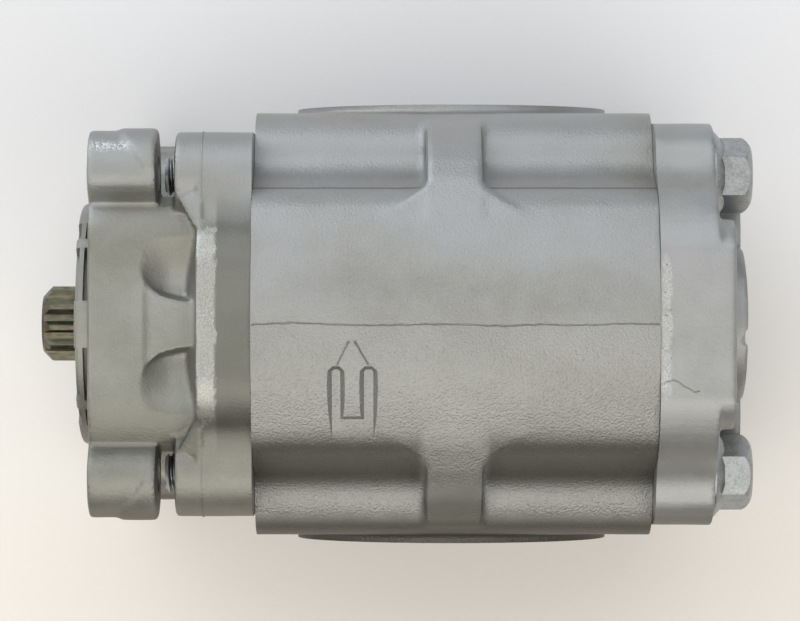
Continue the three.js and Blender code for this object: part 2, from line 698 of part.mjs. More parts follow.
// Lip seal: an outer wall, a flat back and a lip that closes on the shaft.
function shaftSeal() {
  const { outer, lip, wall, root, skin } = SHAFT_SEAL;
  const [from, to] = [SEAL_FRONT, SEAL_FRONT + SHAFT_SEAL.length];
  const back = from + SHAFT_SEAL.back;
  const lipEnd = from + SHAFT_SEAL.lipEnd;
  const profile = [
    [from, lip + skin], [from, outer], [to, outer], [to, outer - wall], [back, outer - wall],
    [back, lip + root], [lipEnd, lip + root - skin / 2], [lipEnd, lip + skin / 2],
    [from + SHAFT_SEAL.bed, lip], [from, lip + skin],
  ];
  return turned(profile, 0, AXIS, 24);
}

function sealClip() {
  const half = CLIP.gapHalfAngle;
  const arc = new THREE.Shape();
  arc.absarc(0, 0, CLIP.outer, -Math.PI / 2 + half, (3 * Math.PI) / 2 - half, false);
  arc.absarc(0, 0, CLIP.inner, (3 * Math.PI) / 2 - half, -Math.PI / 2 + half, true);
  const to = SEAL_FRONT - 1.5 * CLEARANCE;
  const from = to - CLIP.thickness;
  const eyes = [-half - CLIP.eyeTurn, half + CLIP.eyeTurn].map((angle) => [
    CLIP.inner * Math.sin(angle), -CLIP.inner * Math.cos(angle),
  ]);
  return cut(
    joined(alongX(arc, from, to, 12), ...eyes.map(([y, z]) => disc(y, z, CLIP.eye, from, to, 16))),
    ...eyes.map(([y, z]) => disc(y, z, CLIP.eyeHole, from - 1, to + 1, 12)),
  ).translate([0, 0, AXIS]);
}

// ---- Assembly ----
const housing = new THREE.Group();
housing.add(
  named("front_cover", frontCover(), CAST_FRONT),
  named("body", body(), CAST),
  named("rear_cover", rearCover(), CAST),
);

const fasteners = new THREE.Group();
const boltPlaces = ["upper_outlet", "upper_inlet", "lower_outlet", "lower_inlet"];
corners(BOLT).forEach(([y, z], i) => {
  fasteners.add(named(`cover_bolt_${boltPlaces[i]}`, coverBolt(y, z), ZINC));
});
for (const [place, y] of [["outlet", DOWEL.y], ["inlet", -DOWEL.y]]) {
  fasteners.add(
    named(`front_dowel_${place}`, dowel(y, BODY_FRONT), GROUND_STEEL),
    named(`rear_dowel_${place}`, dowel(y, BODY_BACK), GROUND_STEEL),
  );
}

const cartridge = new THREE.Group();
for (const [end, side] of [["front", -1], ["rear", 1]]) {
  cartridge.add(
    named(`${end}_bearing_block`, bearingBlock(side), BLOCK_ALLOY),
    named(`drive_${end}_bush`, bush(side, AXIS), BUSH_BRONZE),
    named(`idler_${end}_bush`, bush(side, -AXIS), BUSH_BRONZE),
    named(`${end}_pressure_seal`, pressureSeal(side), SEAL_RUBBER),
    named(`${end}_backup_ring`, backupRing(side), BACKUP_PLASTIC),
    named(`${end}_body_seal`, bodySeal(side), SEAL_RUBBER),
  );
}
cartridge.add(
  named("shaft_seal", shaftSeal(), SEAL_RUBBER),
  named("seal_retaining_ring", sealClip(), SPRING_STEEL),
);

const driveShaft = named("drive_gear_shaft", driveGearShaft(), DARK_STEEL);
driveShaft.position.z = AXIS;
const idlerShaft = named("idler_gear_shaft", idlerGearShaft(), GROUND_STEEL);
idlerShaft.position.z = -AXIS;

const pump = new THREE.Group();
pump.add(housing, fasteners, cartridge, driveShaft, idlerShaft);
pump.position.z = MIDDLE_Z;

export default pump;
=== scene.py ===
"""A hydraulic gear pump: cast housing, flange bolts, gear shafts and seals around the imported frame."""

import json
import logging
import math
from collections.abc import Callable, Iterable, Sequence
from dataclasses import dataclass, field
from enum import Enum

import bmesh
import bpy
from mathutils import Matrix, Vector, noise


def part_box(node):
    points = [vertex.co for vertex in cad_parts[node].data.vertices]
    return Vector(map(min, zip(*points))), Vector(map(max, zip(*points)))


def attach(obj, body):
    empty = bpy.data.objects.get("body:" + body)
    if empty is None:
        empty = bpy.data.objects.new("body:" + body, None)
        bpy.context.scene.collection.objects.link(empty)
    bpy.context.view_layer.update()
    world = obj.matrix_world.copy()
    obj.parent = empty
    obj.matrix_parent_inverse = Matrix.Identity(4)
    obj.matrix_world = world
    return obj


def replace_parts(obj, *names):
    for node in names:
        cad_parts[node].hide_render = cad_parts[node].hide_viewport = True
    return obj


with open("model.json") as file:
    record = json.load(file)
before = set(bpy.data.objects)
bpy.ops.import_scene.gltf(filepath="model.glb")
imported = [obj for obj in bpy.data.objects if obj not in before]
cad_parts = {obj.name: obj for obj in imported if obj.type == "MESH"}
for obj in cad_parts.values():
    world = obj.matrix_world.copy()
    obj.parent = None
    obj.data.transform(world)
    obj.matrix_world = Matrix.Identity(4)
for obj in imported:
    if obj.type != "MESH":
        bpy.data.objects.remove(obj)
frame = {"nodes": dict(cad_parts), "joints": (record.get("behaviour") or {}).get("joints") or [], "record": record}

LOG = logging.getLogger("gear_pump")
MM = 0.001
Point2 = tuple[float, float]
Point3 = tuple[float, float, float]


class Joining(Enum):
    """How a solid is combined with another one."""

    ADD = "UNION"
    CUT = "DIFFERENCE"
    COMMON = "INTERSECT"


class Side(Enum):
    """Side of the pump along Y, named after its port."""

    OUTLET = 1
    INLET = -1


class Half(Enum):
    """Half of the pump along Z, named after its gear."""

    DRIVE = 1
    IDLER = -1


def node_box(node: str) -> tuple[Vector, Vector]:
    """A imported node's corners in millimetres.

    Args:
        node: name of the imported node.

    Returns:
        The lowest and the highest corner, in millimetres.
    """
    low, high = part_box(node)
    return low / MM, high / MM


class Datum:
    """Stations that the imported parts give, in millimetres; heights are from the plane between the gears."""

    drive_axis = next(j for j in frame["joints"] if j["name"] == "drive_spin")["pos_m"][2] / MM
    idler_axis = next(j for j in frame["joints"] if j["name"] == "idler_spin")["pos_m"][2] / MM
    middle_z = (drive_axis + idler_axis) / 2
    gear = (drive_axis - idler_axis) / 2
    foot = -middle_z
    body_front, body_back = (corner.x for corner in node_box("body"))
    body_middle = (body_front + body_back) / 2
    port_face = node_box("body")[1].y
    pilot_front, plate_back = (corner.x for corner in node_box("front_cover"))
    cover_front, cover_back = (corner.x for corner in node_box("rear_cover"))
    bolt_point, head_top = (corner.x for corner in node_box("cover_bolt_upper_outlet"))
    bolt_y = sum(corner.y for corner in node_box("cover_bolt_upper_outlet")) / 2
    bolt_z = sum(corner.z for corner in node_box("cover_bolt_upper_outlet")) / 2 - middle_z
    dowel_y = sum(corner.y for corner in node_box("front_dowel_outlet")) / 2
    shaft_front, shaft_back = (corner.x for corner in node_box("drive_gear_shaft"))
    seal_front, seal_back = (corner.x for corner in node_box("shaft_seal"))
    ring_front, ring_back = (corner.x for corner in node_box("seal_retaining_ring"))
    mount_face = pilot_front + 3.5
    lug_back = mount_face + 16.6
    boss_front = lug_back + 4.4
    plate_front = boss_front + 5.5
    cover_face = cover_back - 9.1


# ---- Outlines ----
def arc(y: float, z: float, radius: float, start: float, end: float, steps: int = 12) -> list[Point2]:
    """Points on an arc.

    Args:
        y: centre.
        z: centre.
        radius: the arc's radius.
        start: first angle in degrees.
        end: last angle in degrees.
        steps: number of chords.

    Returns:
        Points from the first angle to the last.
    """
    angles = (math.radians(start + (end - start) * i / steps) for i in range(steps + 1))
    return [(y + radius * math.cos(a), z + radius * math.sin(a)) for a in angles]


def bend(start: Point2, control: Point2, end: Point2, steps: int = 8) -> list[Point2]:
    """Points on a quadratic curve, its start left out.

    Args:
        start: where the curve begins.
        control: the point that pulls it.
        end: where it ends.
        steps: number of chords.

    Returns:
        Points after the start, up to the end.
    """
    def at(t: float, k: int) -> float:
        """One coordinate at a share of the way."""
        return (1 - t) ** 2 * start[k] + 2 * t * (1 - t) * control[k] + t * t * end[k]

    return [(at(i / steps, 0), at(i / steps, 1)) for i in range(1, steps + 1)]


def path(start: Point2, *parts: tuple[Point2, ...]) -> list[Point2]:
    """A chain of straight lines and quadratic curves.

    Args:
        start: the first point.
        parts: one point for a line, or a control and an end for a curve.

    Returns:
        Every point of the chain.
    """
    points = [start]
    for part in parts:
        points += [part[0]] if len(part) == 1 else bend(points[-1], part[0], part[1])
    return points


def smooth(value: float, low: float, high: float) -> float:
    """0 below a value, 1 above another, with an eased rise between them."""
    share = min(1.0, max(0.0, (value - low) / (high - low)))
    return share * share * (3 - 2 * share)


def four_way(quarter: Sequence[Point2]) -> list[Point2]:
    """Mirrors a quarter outline into a closed one.

    Args:
        quarter: points from the top centre to the side.

    Returns:
        The whole outline.
    """
    ring = [
        *quarter,
        *((y, -z) for y, z in reversed(quarter)),
        *((-y, -z) for y, z in quarter),
        *((-y, z) for y, z in reversed(quarter)),
    ]
    return [p for i, p in enumerate(ring) if math.dist(p, ring[i - 1]) > 1e-3]


def figure_eight(radius: float, steps: int = 48) -> list[Point2]:
    """Draws two equal circles about the gear axes, joined where they meet.

    Args:
        radius: radius of both.
        steps: chords in each.

    Returns:
        The outline.
    """
    open_angle = math.degrees(math.asin(min(1.0, Datum.gear / radius)))
    ring = [
        *arc(0, Datum.gear, radius, -open_angle, 180 + open_angle, steps),
        *arc(0, -Datum.gear, radius, 180 - open_angle, 360 + open_angle, steps),
    ]
    return [p for i, p in enumerate(ring) if math.dist(p, ring[i - 1]) > 1e-3]


def four_corners(y: float, z: float) -> list[tuple[Half, Side, float, float]]:
    """The four places that mirror one place, each with its half and side."""
    return [(h, s, y * s.value, z * h.value) for h in Half for s in Side]


# ---- Solids ----
class Solid:
    """A closed solid under construction, in millimetres about the plane between the gears."""

    SMOOTH_BELOW = 32.0  # degrees between two faces that are still shaded as one surface

    def __init__(self, bm: bmesh.types.BMesh) -> None:
        """Takes over a closed bmesh and turns its faces outwards.

        Args:
            bm: the mesh, which this solid then owns.
        """
        bmesh.ops.remove_doubles(bm, verts=bm.verts, dist=1e-4)
        bmesh.ops.recalc_face_normals(bm, faces=bm.faces)
        self.bm = bm

    @classmethod
    def _lifted(cls, points: Sequence[Point3], move: Point3) -> "Solid":
        """Extrudes a flat outline.

        Args:
            points: the outline.
            move: how far and which way.

        Returns:
            The prism.
        """
        bm = bmesh.new()
        face = bm.faces.new([bm.verts.new(p) for p in points])
        made = bmesh.ops.extrude_face_region(bm, geom=[face], use_keep_orig=True)
        raised = [v for v in made["geom"] if isinstance(v, bmesh.types.BMVert)]
        bmesh.ops.translate(bm, verts=raised, vec=move)
        return cls(bm)

    @classmethod
    def along_x(cls, outline: Sequence[Point2], start: float, end: float) -> "Solid":
        """A Y and Z outline extruded from one X station to another."""
        return cls._lifted([(start, y, z) for y, z in outline], (end - start, 0, 0))

    @classmethod
    def along_y(cls, outline: Sequence[Point2], start: float, end: float) -> "Solid":
        """An X and Z outline extruded from one Y to another."""
        return cls._lifted([(x, start, z) for x, z in outline], (0, end - start, 0))

    @classmethod
    def along_z(cls, outline: Sequence[Point2], start: float, end: float) -> "Solid":
        """An X and Y outline extruded from one Z to another."""
        return cls._lifted([(x, y, start) for x, y in outline], (0, 0, end - start))

    @classmethod
    def hull(cls, points: Iterable[Point3]) -> "Solid":
        """Wraps some points in a convex solid.

        Args:
            points: the points.

        Returns:
            The solid.
        """
        bm = bmesh.new()
        verts = [bm.verts.new(p) for p in points]
        made = bmesh.ops.convex_hull(bm, input=verts)
        inside = {*made["geom_interior"], *made["geom_unused"]}
        loose = [item for item in inside if isinstance(item, bmesh.types.BMVert)]
        bmesh.ops.delete(bm, geom=loose, context="VERTS")
        return cls(bm)

    @classmethod
    def turned(cls, profile: Sequence[Point2], y: float = 0, z: float = 0, steps: int = 72) -> "Solid":
        """A profile spun about a line along X.

        Args:
            profile: points of X and radius, which make a solid if they start and end on the line and a ring
                if they stay off it.
            y: the line's place.
            z: the line's place.
            steps: number of facets in a turn.

        Returns:
            The turned solid.
        """
        bm = bmesh.new()
        verts = [bm.verts.new((x, 0, radius)) for x, radius in profile]
        pairs = list(zip(verts, verts[1:], strict=False))
        if profile[0][1] > 0:
            pairs.append((verts[-1], verts[0]))
        edges = [bm.edges.new(pair) for pair in pairs]
        bmesh.ops.spin(
            bm, geom=verts + edges, cent=(0, 0, 0), axis=(1, 0, 0),
            angle=math.tau, steps=steps, use_merge=True,
        )
        bmesh.ops.remove_doubles(bm, verts=bm.verts, dist=1e-4)
        bmesh.ops.translate(bm, verts=bm.verts, vec=(0, y, z))
        return cls(bm)

    @classmethod
    def disc(cls, y: float, z: float, radius: float, start: float, end: float, steps: int = 48) -> "Solid":
        """A round bar along X."""
        return cls.turned([(start, 0), (start, radius), (end, radius), (end, 0)], y, z, steps)

    @classmethod
    def ball(cls, centre: Point3, radii: Point3) -> "Solid":
        """Makes an ellipsoid.

        Args:
            centre: its middle.
            radii: its half lengths along the axes.

        Returns:
            The ellipsoid.
        """
        bm = bmesh.new()
        bmesh.ops.create_icosphere(bm, subdivisions=4, radius=1.0)
        bmesh.ops.scale(bm, verts=bm.verts, vec=radii)
        bmesh.ops.translate(bm, verts=bm.verts, vec=centre)
        return cls(bm)

    @classmethod
    def sheet(
        cls, height: Callable[[float, float], float], low: Point2, high: Point2, top: float, pitch: float
    ) -> "Solid":
        """A block whose underside follows a height function.

        Args:
            height: the underside's z at an x and y.
            low: the block's least x and y.
            high: its greatest x and y.
            top: its flat upper side.
            pitch: the distance between samples.

        Returns:
            The block.
        """
        columns = max(2, round((high[0] - low[0]) / pitch))
        rows = max(2, round((high[1] - low[1]) / pitch))
        bm = bmesh.new()
        bmesh.ops.create_grid(bm, x_segments=columns, y_segments=rows, size=0.5)
        for vert in bm.verts:
            x = low[0] + (vert.co.x + 0.5) * (high[0] - low[0])
            y = low[1] + (vert.co.y + 0.5) * (high[1] - low[1])
            vert.co = (x, y, height(x, y))
        raised = bmesh.ops.extrude_face_region(bm, geom=list(bm.faces))["geom"]
        for vert in (item for item in raised if isinstance(item, bmesh.types.BMVert)):
            vert.co.z = top
        bmesh.ops.recalc_face_normals(bm, faces=list(bm.faces))
        return cls(bm)

    def copy(self) -> "Solid":
        """The same solid again."""
        return Solid(self.bm.copy())

    def moved(self, x: float = 0, y: float = 0, z: float = 0) -> "Solid":
        """Moves the solid and returns it."""
        bmesh.ops.translate(self.bm, verts=self.bm.verts, vec=(x, y, z))
        return self

    def turned_by(self, degrees: float, axis: str = "X", centre: Point3 = (0, 0, 0)) -> "Solid":
        """Turns the solid about a line.

        Args:
            degrees: how far.
            axis: the line's direction.
            centre: a point of the line.

        Returns:
            This solid.
        """
        turn = Matrix.Rotation(math.radians(degrees), 3, axis)
        bmesh.ops.rotate(self.bm, verts=self.bm.verts, cent=centre, matrix=turn)
        return self

    def mirrored(self, side: Side, half: Half = Half.DRIVE) -> "Solid":
        """Copies a solid that is drawn at the outlet on the drive half.

        Args:
            side: where the copy goes.
            half: where the copy goes.

        Returns:
            The copy.
        """
        bm = self.bm.copy()
        bmesh.ops.scale(bm, verts=bm.verts, vec=(1, side.value, half.value))
        return Solid(bm)

    def _object(self) -> bpy.types.Object:
        """Moves this solid's mesh into a scratch object.

        Returns:
            The object.
        """
        mesh = bpy.data.meshes.new("scratch")
        self.bm.to_mesh(mesh)
        self.bm.free()
        made = bpy.data.objects.new("scratch", mesh)
        bpy.context.scene.collection.objects.link(made)
        return made

    def _through(
        self, dress: Callable[[bpy.types.Object], None], spare: Sequence[bpy.types.Object] = ()
    ) -> "Solid":
        """Applies modifiers to this solid.

        Args:
            dress: adds the modifiers to an object.
            spare: other objects to remove after.

        Returns:
            This solid.
        """
        made = self._object()
        dress(made)
        graph = bpy.context.evaluated_depsgraph_get()
        mesh = bpy.data.meshes.new_from_object(made.evaluated_get(graph))
        bm = bmesh.new()
        bm.from_mesh(mesh)
        for scratch in (made, *spare):
            old = scratch.data
            bpy.data.objects.remove(scratch)
            bpy.data.meshes.remove(old)
        bpy.data.meshes.remove(mesh)
        self.bm = bm
        return self

    def _combined(self, joining: Joining, tools: Sequence["Solid"]) -> "Solid":
        """Combines this solid with each tool in turn.

        Args:
            joining: what happens with a tool.
            tools: the tools, used up.

        Returns:
            This solid.
        """
        others = [tool._object() for tool in tools]

        def dress(made: bpy.types.Object) -> None:
            """Adds one Boolean for each tool.

            Args:
                made: object to dress.
            """
            for other in others:
                modifier = made.modifiers.new("combine", "BOOLEAN")
                modifier.operation = joining.value
                modifier.solver = "MANIFOLD"
                modifier.object = other

        return self._through(dress, others)

    def add(self, *tools: "Solid") -> "Solid":
        """Joins the tools to this solid."""
        return self._combined(Joining.ADD, tools)

    def cut(self, *tools: "Solid") -> "Solid":
        """Cuts the tools from this solid."""
        return self._combined(Joining.CUT, tools)

    def common(self, *tools: "Solid") -> "Solid":
        """Keeps what this solid shares with the tools."""
        return self._combined(Joining.COMMON, tools)

    def cast(self, voxel: float, rounds: int) -> "Solid":
        """Rounds every edge and hollow as a casting's are.

        Args:
            voxel: size of the remeshed facets.
            rounds: smoothing passes; more of them make larger fillets.

        Returns:
            This solid.
        """
        def dress(made: bpy.types.Object) -> None:
            """Adds the remesh and the smoothing.

            Args:
                made: object to dress.
            """
            remesh = made.modifiers.new("facets", "REMESH")
            remesh.mode = "VOXEL"
            remesh.voxel_size = voxel
            smooth = made.modifiers.new("fillets", "SMOOTH")
            smooth.factor = 0.5
            smooth.iterations = rounds

        return self._through(dress)

    def faced(self, point: Point3, outwards: Point3) -> "Solid":
        """Machines the solid flat: drops what lies beyond a plane and closes the cut.

        Args:
            point: any point of the plane.
            outwards: direction in which material goes.

        Returns:
            This solid.
        """
        bm = self.bm
        geom = [*bm.verts, *bm.edges, *bm.faces]
        made = bmesh.ops.bisect_plane(bm, geom=geom, plane_co=point, plane_no=outwards, clear_outer=True)
        rim = [e for e in made["geom_cut"] if isinstance(e, bmesh.types.BMEdge)]
        bmesh.ops.holes_fill(bm, edges=rim, sides=0)
        bmesh.ops.recalc_face_normals(bm, faces=bm.faces)
        return self

    def wandered(self, amount: float, size: float) -> "Solid":
        """Moves each vertex a little along its normal, so that cast faces aren't dead flat.

        Args:
            amount: largest move.
            size: width of the swells.

        Returns:
            This solid.
        """
        self.bm.normal_update()
        for vert in self.bm.verts:
            vert.co += vert.normal * (amount * noise.noise(vert.co / size))
        return self

    def piece(self, name: str, body: str, slot: str, finish: bpy.types.Material) -> bpy.types.Object:
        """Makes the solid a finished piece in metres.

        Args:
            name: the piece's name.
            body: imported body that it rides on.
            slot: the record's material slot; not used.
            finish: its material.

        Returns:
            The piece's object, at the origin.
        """
        bm = self.bm
        bmesh.ops.translate(bm, verts=bm.verts, vec=(0, 0, Datum.middle_z))
        bmesh.ops.scale(bm, verts=bm.verts, vec=(MM,) * 3)
        bmesh.ops.triangulate(bm, faces=[f for f in bm.faces if len(f.verts) > 4])
        bm.normal_update()
        for face in bm.faces:
            face.smooth = True
        sharp = math.radians(self.SMOOTH_BELOW)
        for edge in bm.edges:
            edge.smooth = edge.is_manifold and edge.calc_face_angle(0.0) < sharp
        mesh = bpy.data.meshes.new(name)
        bm.to_mesh(mesh)
        bm.free()
        made = bpy.data.objects.new(name, mesh)
        bpy.context.scene.collection.objects.link(made)
        made.data.materials.append(finish)
        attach(made, body)
        LOG.info("%s: %d faces", name, len(mesh.polygons))
        return made


# ---- Finishes ----
class Socket:
    """A shader socket whose maths is written as Python expressions."""

    def __init__(self, shader: "Shader", out: bpy.types.NodeSocket) -> None:
        """Wraps one output socket of a shader."""
        self.shader = shader
        self.out = out

    def _maths(self, operation: str, *terms: "Socket | float") -> "Socket":
        """One Math node of an operation and its terms."""
        return self.shader.add("ShaderNodeMath", {"operation": operation}, dict(enumerate(terms)))

    def __add__(self, other: "Socket | float") -> "Socket":
        """Sum."""
        return self._maths("ADD", self, other)

    def __sub__(self, other: "Socket | float") -> "Socket":
        """Difference."""
        return self._maths("SUBTRACT", self, other)

    def __rsub__(self, other: "Socket | float") -> "Socket":
        """Reflected difference."""
        return self._maths("SUBTRACT", other, self)

    def __mul__(self, other: "Socket | float") -> "Socket":
        """Product."""
        return self._maths("MULTIPLY", self, other)

    def __abs__(self) -> "Socket":
        """Absolute value."""
        return self._maths("ABSOLUTE", self)

    __radd__ = __add__
    __rmul__ = __mul__

    def step(self, low: float, high: float) -> "Socket":
        """Rises smoothly between two values, or falls if the first is the larger.

        Args:
            low: where the share is 0.
            high: where it is 1.

        Returns:
            A share from 0 to 1.
        """
        settings = {"interpolation_type": "SMOOTHSTEP"}
        up = low < high
        ends = {1: min(low, high), 2: max(low, high), 3: 0.0 if up else 1.0, 4: 1.0 if up else 0.0}
        return self.shader.add("ShaderNodeMapRange", settings, {0: self, **ends})

    def band(self, low: float, high: float, edge: float) -> "Socket":
        """1 between two values and 0 outside them, with soft edges."""
        return self.step(low - edge, low + edge) * self.step(high + edge, high - edge)


class Shader:
    """Builds one material's nodes."""

    def __init__(self, name: str) -> None:
        """Starts an empty material whose patterns follow Object coordinates.

        Args:
            name: the material's name.
        """
        self.material = bpy.data.materials.new(name)
        self.material.use_nodes = True
        self.tree = self.material.node_tree
        self.tree.nodes.clear()
        self.place = self.add("ShaderNodeTexCoord", {}, {}, "Object")
        split = self.node("ShaderNodeSeparateXYZ", {}, {0: self.place})
        self.x, self.y, self.z = (Socket(self, out) for out in split.outputs)

    def node(self, kind: str, settings: dict, inputs: dict) -> bpy.types.Node:
        """Adds a node.

        Args:
            kind: the node's type.
            settings: its own settings, set first.
            inputs: socket names or numbers with their values or links.

        Returns:
            The node.
        """
        node = self.tree.nodes.new(kind)
        for key, value in settings.items():
            if key == "stops":
                ramp = node.color_ramp
                while len(ramp.elements) < len(value):
                    ramp.elements.new(0.5)
                for element, (position, colour) in zip(ramp.elements, value, strict=True):
                    element.position, element.color = position, (*colour, 1.0)
            else:
                setattr(node, key, value)
        for key, value in inputs.items():
            if isinstance(value, Socket):
                self.tree.links.new(value.out, node.inputs[key])
            else:
                node.inputs[key].default_value = value
        return node

    def add(self, kind: str, settings: dict, inputs: dict, output: str | int = 0) -> Socket:
        """Adds a node and wraps one of its outputs."""
        return Socket(self, self.node(kind, settings, inputs).outputs[output])

    def noise(
        self, size: float, detail: float = 2.0, stretch: Point3 = (1, 1, 1), roughness: float = 0.5
    ) -> Socket:
        """Noise of a grain size in millimetres.

        Args:
            size: width of one swell along an unstretched axis.
            detail: octaves.
            stretch: how many times longer the grain is along each axis.
            roughness: strength of the finer octaves.

        Returns:
            A value about 0.5.
        """
        scale = tuple(1 / (size * MM * s) for s in stretch)
        place = self.add("ShaderNodeMapping", {}, {"Vector": self.place, "Scale": scale})
        inputs = {"Vector": place, "Scale": 1.0, "Detail": detail, "Roughness": roughness}
        return self.add("ShaderNodeTexNoise", {}, inputs)

    def cells(self, size: float) -> Socket:
        """Distance to the nearest of scattered points, about a size in millimetres apart."""
        return self.add("ShaderNodeTexVoronoi", {}, {"Vector": self.place, "Scale": 1 / (size * MM)})

    def mix(self, share: Socket | float, first: Socket | Point3, second: Socket | Point3) -> Socket:
        """Blends two colours by a share.

        Args:
            share: how much of the second.
            first: a colour.
            second: another.

        Returns:
            The blend.
        """
        settings = {"data_type": "RGBA", "clamp_factor": True}
        ends = [c if isinstance(c, Socket) else (*c, 1.0) for c in (first, second)]
        return self.add("ShaderNodeMix", settings, {0: share, 6: ends[0], 7: ends[1]}, 2)

    def ramp(self, value: Socket, *stops: tuple[float, Point3]) -> Socket:
        """Colours along a value."""
        return self.add("ShaderNodeValToRGB", {"stops": stops}, {0: value})

    def bump(self, height: Socket, depth: float, under: Socket | None = None) -> Socket:
        """Turns a height into relief.

        Args:
            height: the pattern.
            depth: millimetres at a height of 1.
            under: relief that it lies on.

        Returns:
            The relief's normal.
        """
        inputs = {"Strength": 1.0, "Distance": depth * MM, "Height": height}
        if under:
            inputs["Normal"] = under
        return self.add("ShaderNodeBump", {}, inputs)

    def finish(
        self, colour: Socket, roughness: Socket, normal: Socket, metallic: float, **more: float
    ) -> bpy.types.Material:
        """Ends the material in one surface shader.

        Args:
            colour: base colour.
            roughness: roughness.
            normal: relief.
            metallic: share of metal.
            more: further constants, with spaces in socket names written as underscores.

        Returns:
            The material.
        """
        inputs = {"Base Color": colour, "Roughness": roughness, "Normal": normal, "Metallic": metallic}
        inputs |= {name.replace("_", " "): value for name, value in more.items()}
        surface = self.add("ShaderNodeBsdfPrincipled", {}, inputs)
        self.node("ShaderNodeOutputMaterial", {}, {"Surface": surface})
        return self.material


@dataclass(frozen=True)
class Patch:
    """A rectangle on top of a casting, in millimetres."""

    low_x: float
    high_x: float
    low_y: float
    high_y: float

    def mask(self, x: Socket, y: Socket, soft_x: float, soft_y: float) -> Socket:
        """1 inside the rectangle, with edges as soft as the two widths in metres."""
        across = x.band(self.low_x * MM, self.high_x * MM, soft_x)
        return across * y.band(self.low_y * MM, self.high_y * MM, soft_y)


@dataclass(frozen=True)
class BodyPaintedShade:
    """Painted shade on the body's inlet side, and a thin dark line of painted shade in its outlet-side flank
    crease.

    A pair of stations, in metres, runs from where the painted shade starts to where it is full.
    """

    shade_tone: Point3 = (0.045, 0.043, 0.028)
    rib_edge: Point2 = (0.0066, 0.0092)
    valley_top: Point2 = (-0.0235, -0.0300)
    valley_foot: Point2 = (-0.0425, -0.0360)
    valley_on_rib: float = 0.28
    valley_off_rib: float = 0.42
    skirt: Point2 = (-0.0465, -0.0497)
    skirt_share: float = 0.80
    rib_side: Point2 = (-0.0390, -0.0450)
    rib_foot: Point2 = (-0.0500, -0.0470)
    rib_share: float = 0.58
    crease_y: float = 0.0327
    crease_width: Point2 = (0.0003, 0.0001)
    crease_tone: Point3 = (0.06, 0.06, 0.06)
    crease_share: float = 0.5

    def over(self, s: Shader, colour: Socket, patches: Socket) -> Socket:
        """Paints the shade over a casting's colour.

        Args:
            s: the casting's shader.
            colour: the colour before the painted shade.
            patches: the noise that lets the crease wander.

        Returns:
            The colour with the painted shade.
        """
        off_rib = abs(s.x - Datum.body_middle * MM).step(*self.rib_edge)
        valley = s.y.step(*self.valley_top) * s.y.step(*self.valley_foot)
        shade = valley * (off_rib * self.valley_off_rib + self.valley_on_rib)
        shade = shade + s.y.step(*self.skirt) * self.skirt_share
        rib = (1 - off_rib) * s.y.step(*self.rib_side) * self.rib_share * s.y.step(*self.rib_foot)
        # painted shade: the inlet-side hollow, skirt and rib foot darken towards the shade tone
        colour = s.mix(shade + rib, colour, self.shade_tone)
        wander = patches * self.crease_width[0]
        # painted shade: a thin dark line along the outlet-side flank crease
        crease = abs(s.y - self.crease_y + wander).step(*self.crease_width) * off_rib
        return s.mix(crease * self.crease_share, colour, self.crease_tone)


@dataclass(frozen=True)
class CastMetal:
    """Die-cast aluminium: a pebbled skin, cloudy tone with a painted cool tint of window light on the outlet side,
    and painted shade where it is given.
    """

    name: str
    light: Point3 = (0.355, 0.352, 0.335)
    dark: Point3 = (0.265, 0.26, 0.24)
    window_tint: Point3 = (0.335, 0.345, 0.36)
    rubbed: Point3 = (0.50, 0.50, 0.49)
    pebble: float = 0.55
    pebble_depth: float = 0.10
    swell_depth: float = 0.10
    roughness: float = 0.50
    metallic: float = 0.85
    specular: float = 0.4
    coarse_side: float = 0.0
    # painted shade laid over the colour, given for the body only
    painted_shade: BodyPaintedShade | None = None

    def skin(self, s: Shader, patch_share: float, speck_share: float) -> tuple[Socket, Socket, Socket]:
        """The patterns that every casting has, with a cool tint of window light painted on its outlet side.

        Args:
            s: the casting's shader.
            patch_share: how much the patches add to the tone.
            speck_share: how much the finest grain adds to it.

        Returns:
            The colour, the patches and the pebbles' height.
        """
        clouds = s.noise(26, 3, (1.5, 1, 1))
        patches = s.noise(7, 4, roughness=0.6)
        speck = s.noise(0.34, 3, roughness=0.7)
        tone = clouds * 0.38 + patches * patch_share + speck * speck_share
        colour = s.ramp(tone, (0.36, self.dark), (0.62, self.light))
        # painted light: a cool bluish tint of the window's light grows towards the outlet (+Y) side, broken up by
        # the clouds
        window_tint_share = s.y.step(-0.012, 0.030) * clouds.step(0.35, 0.6)
        colour = s.mix(window_tint_share * 0.55, colour, self.window_tint)
        pebbles = s.noise(self.pebble, 3, roughness=0.55) * 0.7 - s.cells(self.pebble) * 0.5
        return colour, patches, pebbles

    def rough(self, patches: Socket) -> Socket:
        """Roughness that varies with the patches."""
        return self.roughness + patches * 0.14 - 0.07

    def build(self) -> bpy.types.Material:
        """Builds the finish of a casting that is left as cast.

        Returns:
            The material.
        """
        s = Shader(self.name)
        colour, patches, pebbles = self.skin(s, 0.27, 0.35)
        if self.painted_shade:
            colour = self.painted_shade.over(s, colour, patches)
        scuffs = s.noise(1.6, 4, (0.18, 1.6, 1), 0.7).step(0.66, 0.74)
        colour = s.mix(scuffs * 0.45, colour, self.rubbed)
        coarse = s.y.step(0.004, -0.004) * self.coarse_side + (1 - self.coarse_side * 0.5)
        swells = s.bump(patches, self.swell_depth)
        relief = s.bump(s.noise(0.24, 1), 0.024, s.bump(pebbles * coarse, self.pebble_depth * 1.6, swells))
        return s.finish(colour, self.rough(patches), relief, self.metallic, Specular_IOR_Level=self.specular)


